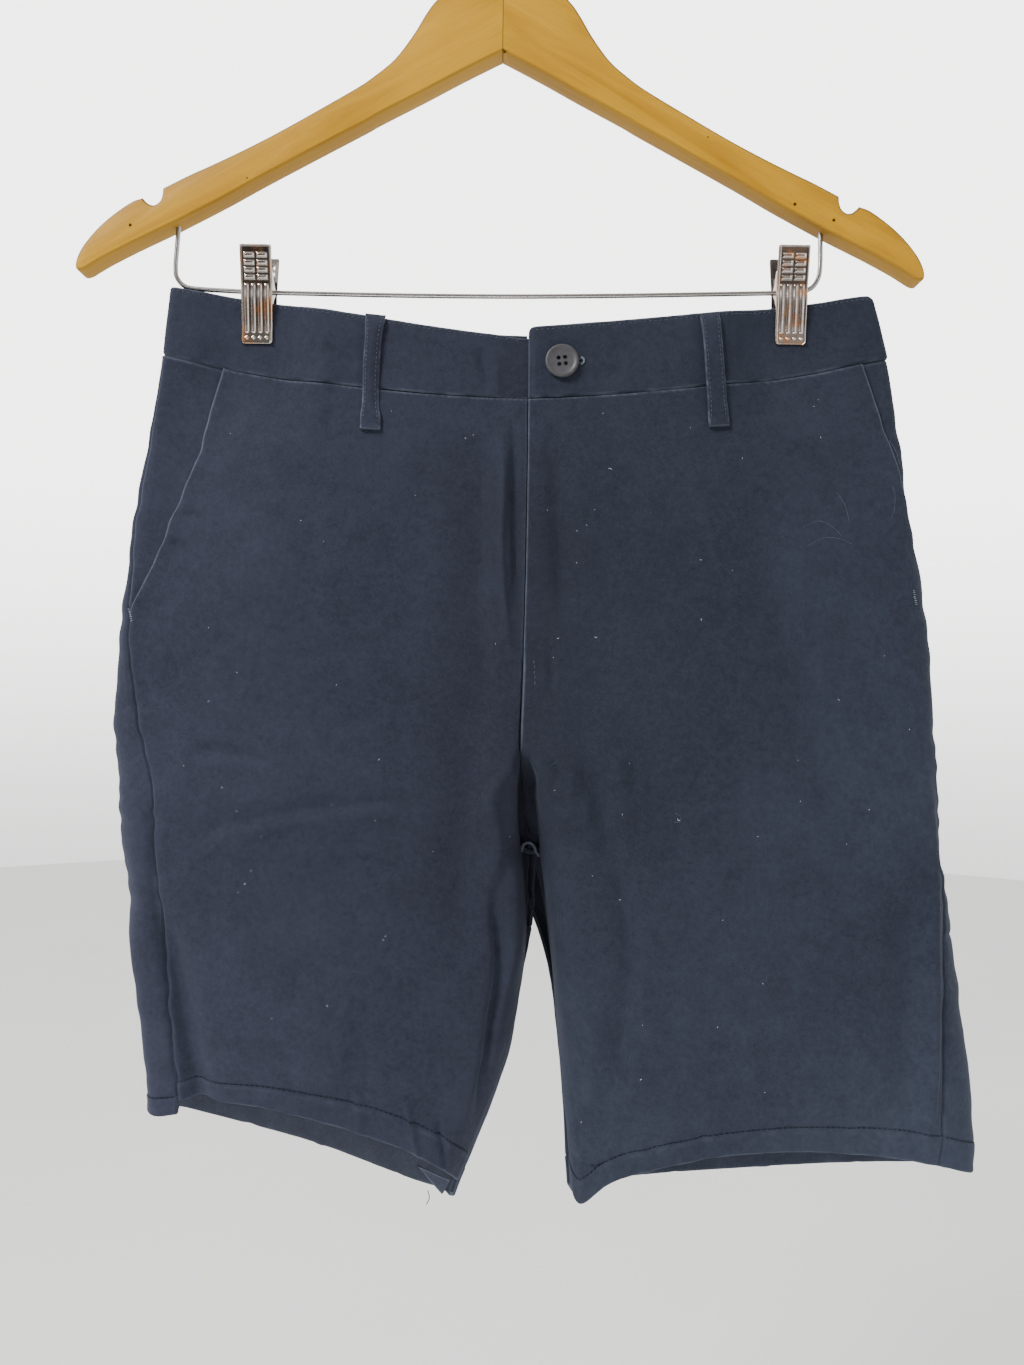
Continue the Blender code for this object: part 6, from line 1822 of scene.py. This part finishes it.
# the seam allowances curl forward where the four legs' seams meet
CURL = wire("crotch_curl", [tuple(p) for p in smooth_path(
    [(15.2, 3.5, -524.6), (15.9, 1.0, -520.6), (18.6, -0.6, -519.0), (21.4, -0.2, -520.6), (22.8, 1.2, -524.2),
     (24.4, 4.5, -526.8)], 6)], 1.5, TWILL, 3)
at = CURL.data.attributes.new("wear_and_shading", "FLOAT", "POINT")
at.data.foreach_set("value", np.full(len(CURL.data.vertices), 0.6, np.float32))
CURL_INNER = wire("crotch_seam", [tuple(p) for p in smooth_path(
    [(14.8, 5.5, -521.0), (17.0, 4.6, -523.4), (20.5, 4.4, -524.4), (24.6, 5.6, -523.0)], 6)], 3.2, TWILL, 3)


def tuck():
    """Corner of the hem folded back inside the wearer's right leg."""
    a, b, c = np.array([-38.2, -4.5, -688.4]), np.array([-20.6, -5.5, -696.1]), np.array([-24.7, -2.5, -704.7])
    outer, inner, uv, wear_and_shading = [], [], [], []
    for u in np.linspace(0.02, 1, 14):
        k = np.linspace(0, 1, 16)
        line = a + u * ((b - a) * (1 - k)[:, None] + (c - a) * k[:, None])
        line[:, 1] -= 1.1 * np.sin(math.pi * k) * u + 0.4 * np.sin(5 * k + 4 * u)
        outer.append(line)
        inner.append(line + np.array([0, 0.9, 0]))
        uv.append(np.stack([line[:, 0], line[:, 2]], 1))
        edge = np.minimum(k, 1 - k) * u * 12.0
        wear_and_shading.append(np.clip(0.20 + 0.75 * np.exp(-(edge / 0.6) ** 2), 0, 1))
    ob = sheet_mesh("hem_tuck", np.array(outer), np.array(inner), TWILL, np.array(uv), np.array(wear_and_shading))
    return ob


tuck()


def strand(points, dia, name):
    return wire(name, [tuple(p) for p in smooth_path(points, 5)], dia, HAIR, 1)


# lint and short hairs caught on the cloth
r = np.random.default_rng(77)
bits = []
SPECKS = ((58.6, -324.9, 0.5), (25.9, -345.7, 0.3), (32.6, -411.4, 0.35), (29.4, -421.2, 0.45), (50.5, -410.7, 0.35),
          (92.9, -502.0, 0.5), (-100.3, -352.8, 0.25), (-145.1, -445.2, 0.25), (-57.9, -474.8, 0.25),
          (104.4, -401.4, 0.3), (-123.5, -536.8, 0.3), (-82.0, -597.5, 0.3), (65.4, -544.7, 0.3),
          (137.3, -584.7, 0.25), (176.4, -441.3, 0.25), (76.7, -636.4, 0.35), (104.1, -370.7, 0.25))
for x, z, size in SPECKS:
    side = -1 if x < 14 else 1
    q, m = spot(side, x, z, out=0.12)
    bits.append((q, m, size))
for _ in range(110):
    side = -1 if r.random() < 0.48 else 1
    t, s = r.uniform(1.15, 9.7), r.uniform(0.06, 0.94) + (1 if r.random() < 0.45 else 0)
    p, n, a = HALF[side].frame(t, s)
    o = relief(side, p[:, 0], p[:, 2], a)[0] + 0.10
    if side > 0 or s > 1 or t < 9.0:
        bits.append((p[0] + n[0] * o, n[0], r.uniform(0.10, 0.24)))
lints = []
for i, (q, m, size) in enumerate(bits):
    e = np.cross(m, (0.0, 0.0, 1.0))
    e = e / (np.linalg.norm(e) + 1e-9)
    up = np.cross(e, m)
    a0, bend = r.uniform(0, 2 * math.pi), r.uniform(-1.6, 1.6)
    pts, here, ang = [], q.copy(), a0
    for k in range(4):
        pts.append(here.copy())
        here = here + (e * math.cos(ang) + up * math.sin(ang)) * size * 1.3 + m * 0.03 * (1 if k % 2 else -0.5)
        ang += bend
    lints.append(wire("lint_%d" % i, [tuple(p) for p in pts], 0.14 + 0.22 * size, LINT, 1))
hairs = (((205.4, -330), (206.6, -336), (206.2, -343), (204.6, -347)), ((158, -352), (166, -349), (173, -352), (178, -357)),
         ((160, -362), (168, -358.6), (176, -358), (183, -361)), ((91.6, -499), (94.4, -500.4), (94.2, -503.4), (91.4, -503.6)),
         ((176, -334), (180, -341), (182, -349)), ((204, -306), (207.5, -311), (209.5, -318)))
lint_all = join("lint", lints)
caught = []
for i, line in enumerate(hairs):
    pts = [spot(1, x, z, out=0.22)[0] for x, z in line]
    caught.append(strand(pts, 0.09, "hair_%d" % i))
hairs_all = join("hairs", caught)
# loose sewing threads at two hem corners
ends = [wire("thread_end_a", [tuple(p) for p in smooth_path([(-12.6, 4, -674.0), (-10.6, 1, -674.6), (-10.0, -1, -677.4)], 5)],
             0.5, THREAD_DARK, 2),
        wire("thread_end_b", [tuple(p) for p in smooth_path([(-33.0, 8, -708.0), (-32.0, 6, -711.0), (-33.4, 5, -714.0)], 5)],
             0.5, THREAD_DARK, 2)]
thread_ends = join("thread_ends", ends)

# ------------------------------------------------------------ camera
cam = bpy.data.cameras.new("camera")
cam.sensor_fit = "VERTICAL"
cam.sensor_height = 36
cam.lens = 1025 / 1365 * 36
cam.clip_start = 0.01
cam_ob = bpy.data.objects.new("camera", cam)
COLL.objects.link(cam_ob)
cam_ob.matrix_world = (Matrix.Translation((0.008915, -0.543, -0.434418))
                       @ Matrix.Rotation(-math.radians(0.7), 4, "Y") @ Matrix.Rotation(math.pi / 2, 4, "X"))
SCENE.camera = cam_ob

# ------------------------------------------------------------ light and floor
world = bpy.data.worlds.new("room")
SCENE.world = world
world.use_nodes = True
wt = world.node_tree
bg = wt.nodes["Background"]
bg.inputs[0].default_value = (0.97, 0.975, 0.98, 1)
wc = node(wt, "ShaderNodeTexCoord")
ws = node(wt, "ShaderNodeSeparateXYZ")
wt.links.new(wc.outputs["Generated"], ws.inputs[0])
# a pale room, dimmer on the viewer's side and below
ahead = node(wt, "ShaderNodeMapRange", interpolation_type="SMOOTHSTEP")
for i, v in ((1, -0.75), (2, 0.45), (3, 0.31), (4, 2.2)):
    ahead.inputs[i].default_value = v
wt.links.new(ws.outputs["Y"], ahead.inputs[0])
above = node(wt, "ShaderNodeMapRange", interpolation_type="SMOOTHSTEP")
for i, v in ((1, -0.85), (2, 0.35), (3, 0.40), (4, 1.12)):
    above.inputs[i].default_value = v
wt.links.new(ws.outputs["Z"], above.inputs[0])
# the room on the viewer's side has lit and unlit parts, and warm ones
patch = node(wt, "ShaderNodeTexNoise", Scale=2.6, Detail=1.0, Roughness=0.4)
wt.links.new(wc.outputs["Generated"], patch.inputs["Vector"])
lit = node(wt, "ShaderNodeMapRange", interpolation_type="SMOOTHSTEP")
for i, v in ((1, 0.42), (2, 0.60), (3, 0.25), (4, 2.6)):
    lit.inputs[i].default_value = v
wt.links.new(patch.outputs["Fac"], lit.inputs[0])
near = node(wt, "ShaderNodeMapRange", interpolation_type="SMOOTHSTEP")
for i, v in ((1, -0.25), (2, 0.10), (3, 1.0), (4, 0.0)):
    near.inputs[i].default_value = v
wt.links.new(ws.outputs["Y"], near.inputs[0])
uneven = math_node(wt, "ADD", math_node(wt, "MULTIPLY", math_node(wt, "SUBTRACT", lit.outputs[0], 1.0), near.outputs[0]), 1.0)
room = math_node(wt, "MULTIPLY", ahead.outputs[0], above.outputs[0])
wt.links.new(math_node(wt, "MULTIPLY", room, uneven), bg.inputs[1])
plain = node(wt, "ShaderNodeBackground")
plain.inputs[0].default_value = (1.0, 0.995, 0.98, 1)
rise = node(wt, "ShaderNodeMapRange", interpolation_type="SMOOTHSTEP")
for i, v in ((1, -0.20), (2, 0.22), (3, 1.62), (4, 4.4)):
    rise.inputs[i].default_value = v
wt.links.new(ws.outputs["Z"], rise.inputs[0])
wt.links.new(rise.outputs[0], plain.inputs[1])
seen = node(wt, "ShaderNodeLightPath")
pick = node(wt, "ShaderNodeMixShader")
wt.links.new(seen.outputs["Is Camera Ray"], pick.inputs[0])
wt.links.new(bg.outputs[0], pick.inputs[1])
wt.links.new(plain.outputs[0], pick.inputs[2])
wt.links.new(pick.outputs[0], wt.nodes["World Output"].inputs[0])
glow = node(wt, "ShaderNodeTexNoise", Scale=3.4, Detail=0.0)
move = node(wt, "ShaderNodeMapping")
move.inputs["Location"].default_value = (4.3, 1.7, 2.9)
wt.links.new(wc.outputs["Generated"], move.inputs["Vector"])
wt.links.new(move.outputs[0], glow.inputs["Vector"])
warm = node(wt, "ShaderNodeMapRange", interpolation_type="SMOOTHSTEP")
for i, v in ((1, 0.55), (2, 0.66), (3, 0.0), (4, 0.8)):
    warm.inputs[i].default_value = v
wt.links.new(glow.outputs["Fac"], warm.inputs[0])
wt.links.new(mix_rgb(wt, math_node(wt, "MULTIPLY", warm.outputs[0], near.outputs[0]), (0.97, 0.975, 0.98), (1.0, 0.52, 0.22)),
             bg.inputs[0])


def lamp(name, at, aim, size, power, colour=(1, 1, 1)):
    data = bpy.data.lights.new(name, "AREA")
    data.shape = "RECTANGLE"
    data.size, data.size_y = size
    data.energy = power
    data.color = colour
    ob = bpy.data.objects.new(name, data)
    COLL.objects.link(ob)
    ob.location = at
    ob.rotation_euler = (Vector(aim) - Vector(at)).to_track_quat("-Z", "Y").to_euler()
    return ob


lamp("key", (-1.15, -1.05, 0.95), (0, 0, -0.45), (0.55, 0.5), 66, (1.0, 0.985, 0.965))
lamp("fill", (1.7, -1.2, -0.1), (0, 0, -0.45), (1.2, 1.6), 8, (0.93, 0.96, 1.0))
lamp("low", (-0.1, -1.1, -1.10), (0, 0, -0.69), (0.5, 0.3), 0.75, (1.0, 0.93, 0.90)).data.spread = math.radians(50)

me = bpy.data.meshes.new("floor")
bm = bmesh.new()
bmesh.ops.create_circle(bm, cap_ends=True, segments=96, radius=4.4)
bm.to_mesh(me)
bm.free()
floor = bpy.data.objects.new("floor", me)
COLL.objects.link(floor)
floor.location = (0, 0, -1.25)
fm, nt, b = new_mat("floor", (0.82, 0.82, 0.81), 0.7)
tc = node(nt, "ShaderNodeTexCoord")
nz = node(nt, "ShaderNodeTexNoise", Scale=3.0, Detail=3.0)
nt.links.new(tc.outputs["Object"], nz.inputs["Vector"])
nt.links.new(mix_rgb(nt, nz.outputs["Fac"], (0.66, 0.66, 0.65), (0.72, 0.72, 0.71)), b.inputs["Base Color"])
me.materials.append(fm)

bpy.context.view_layer.update()
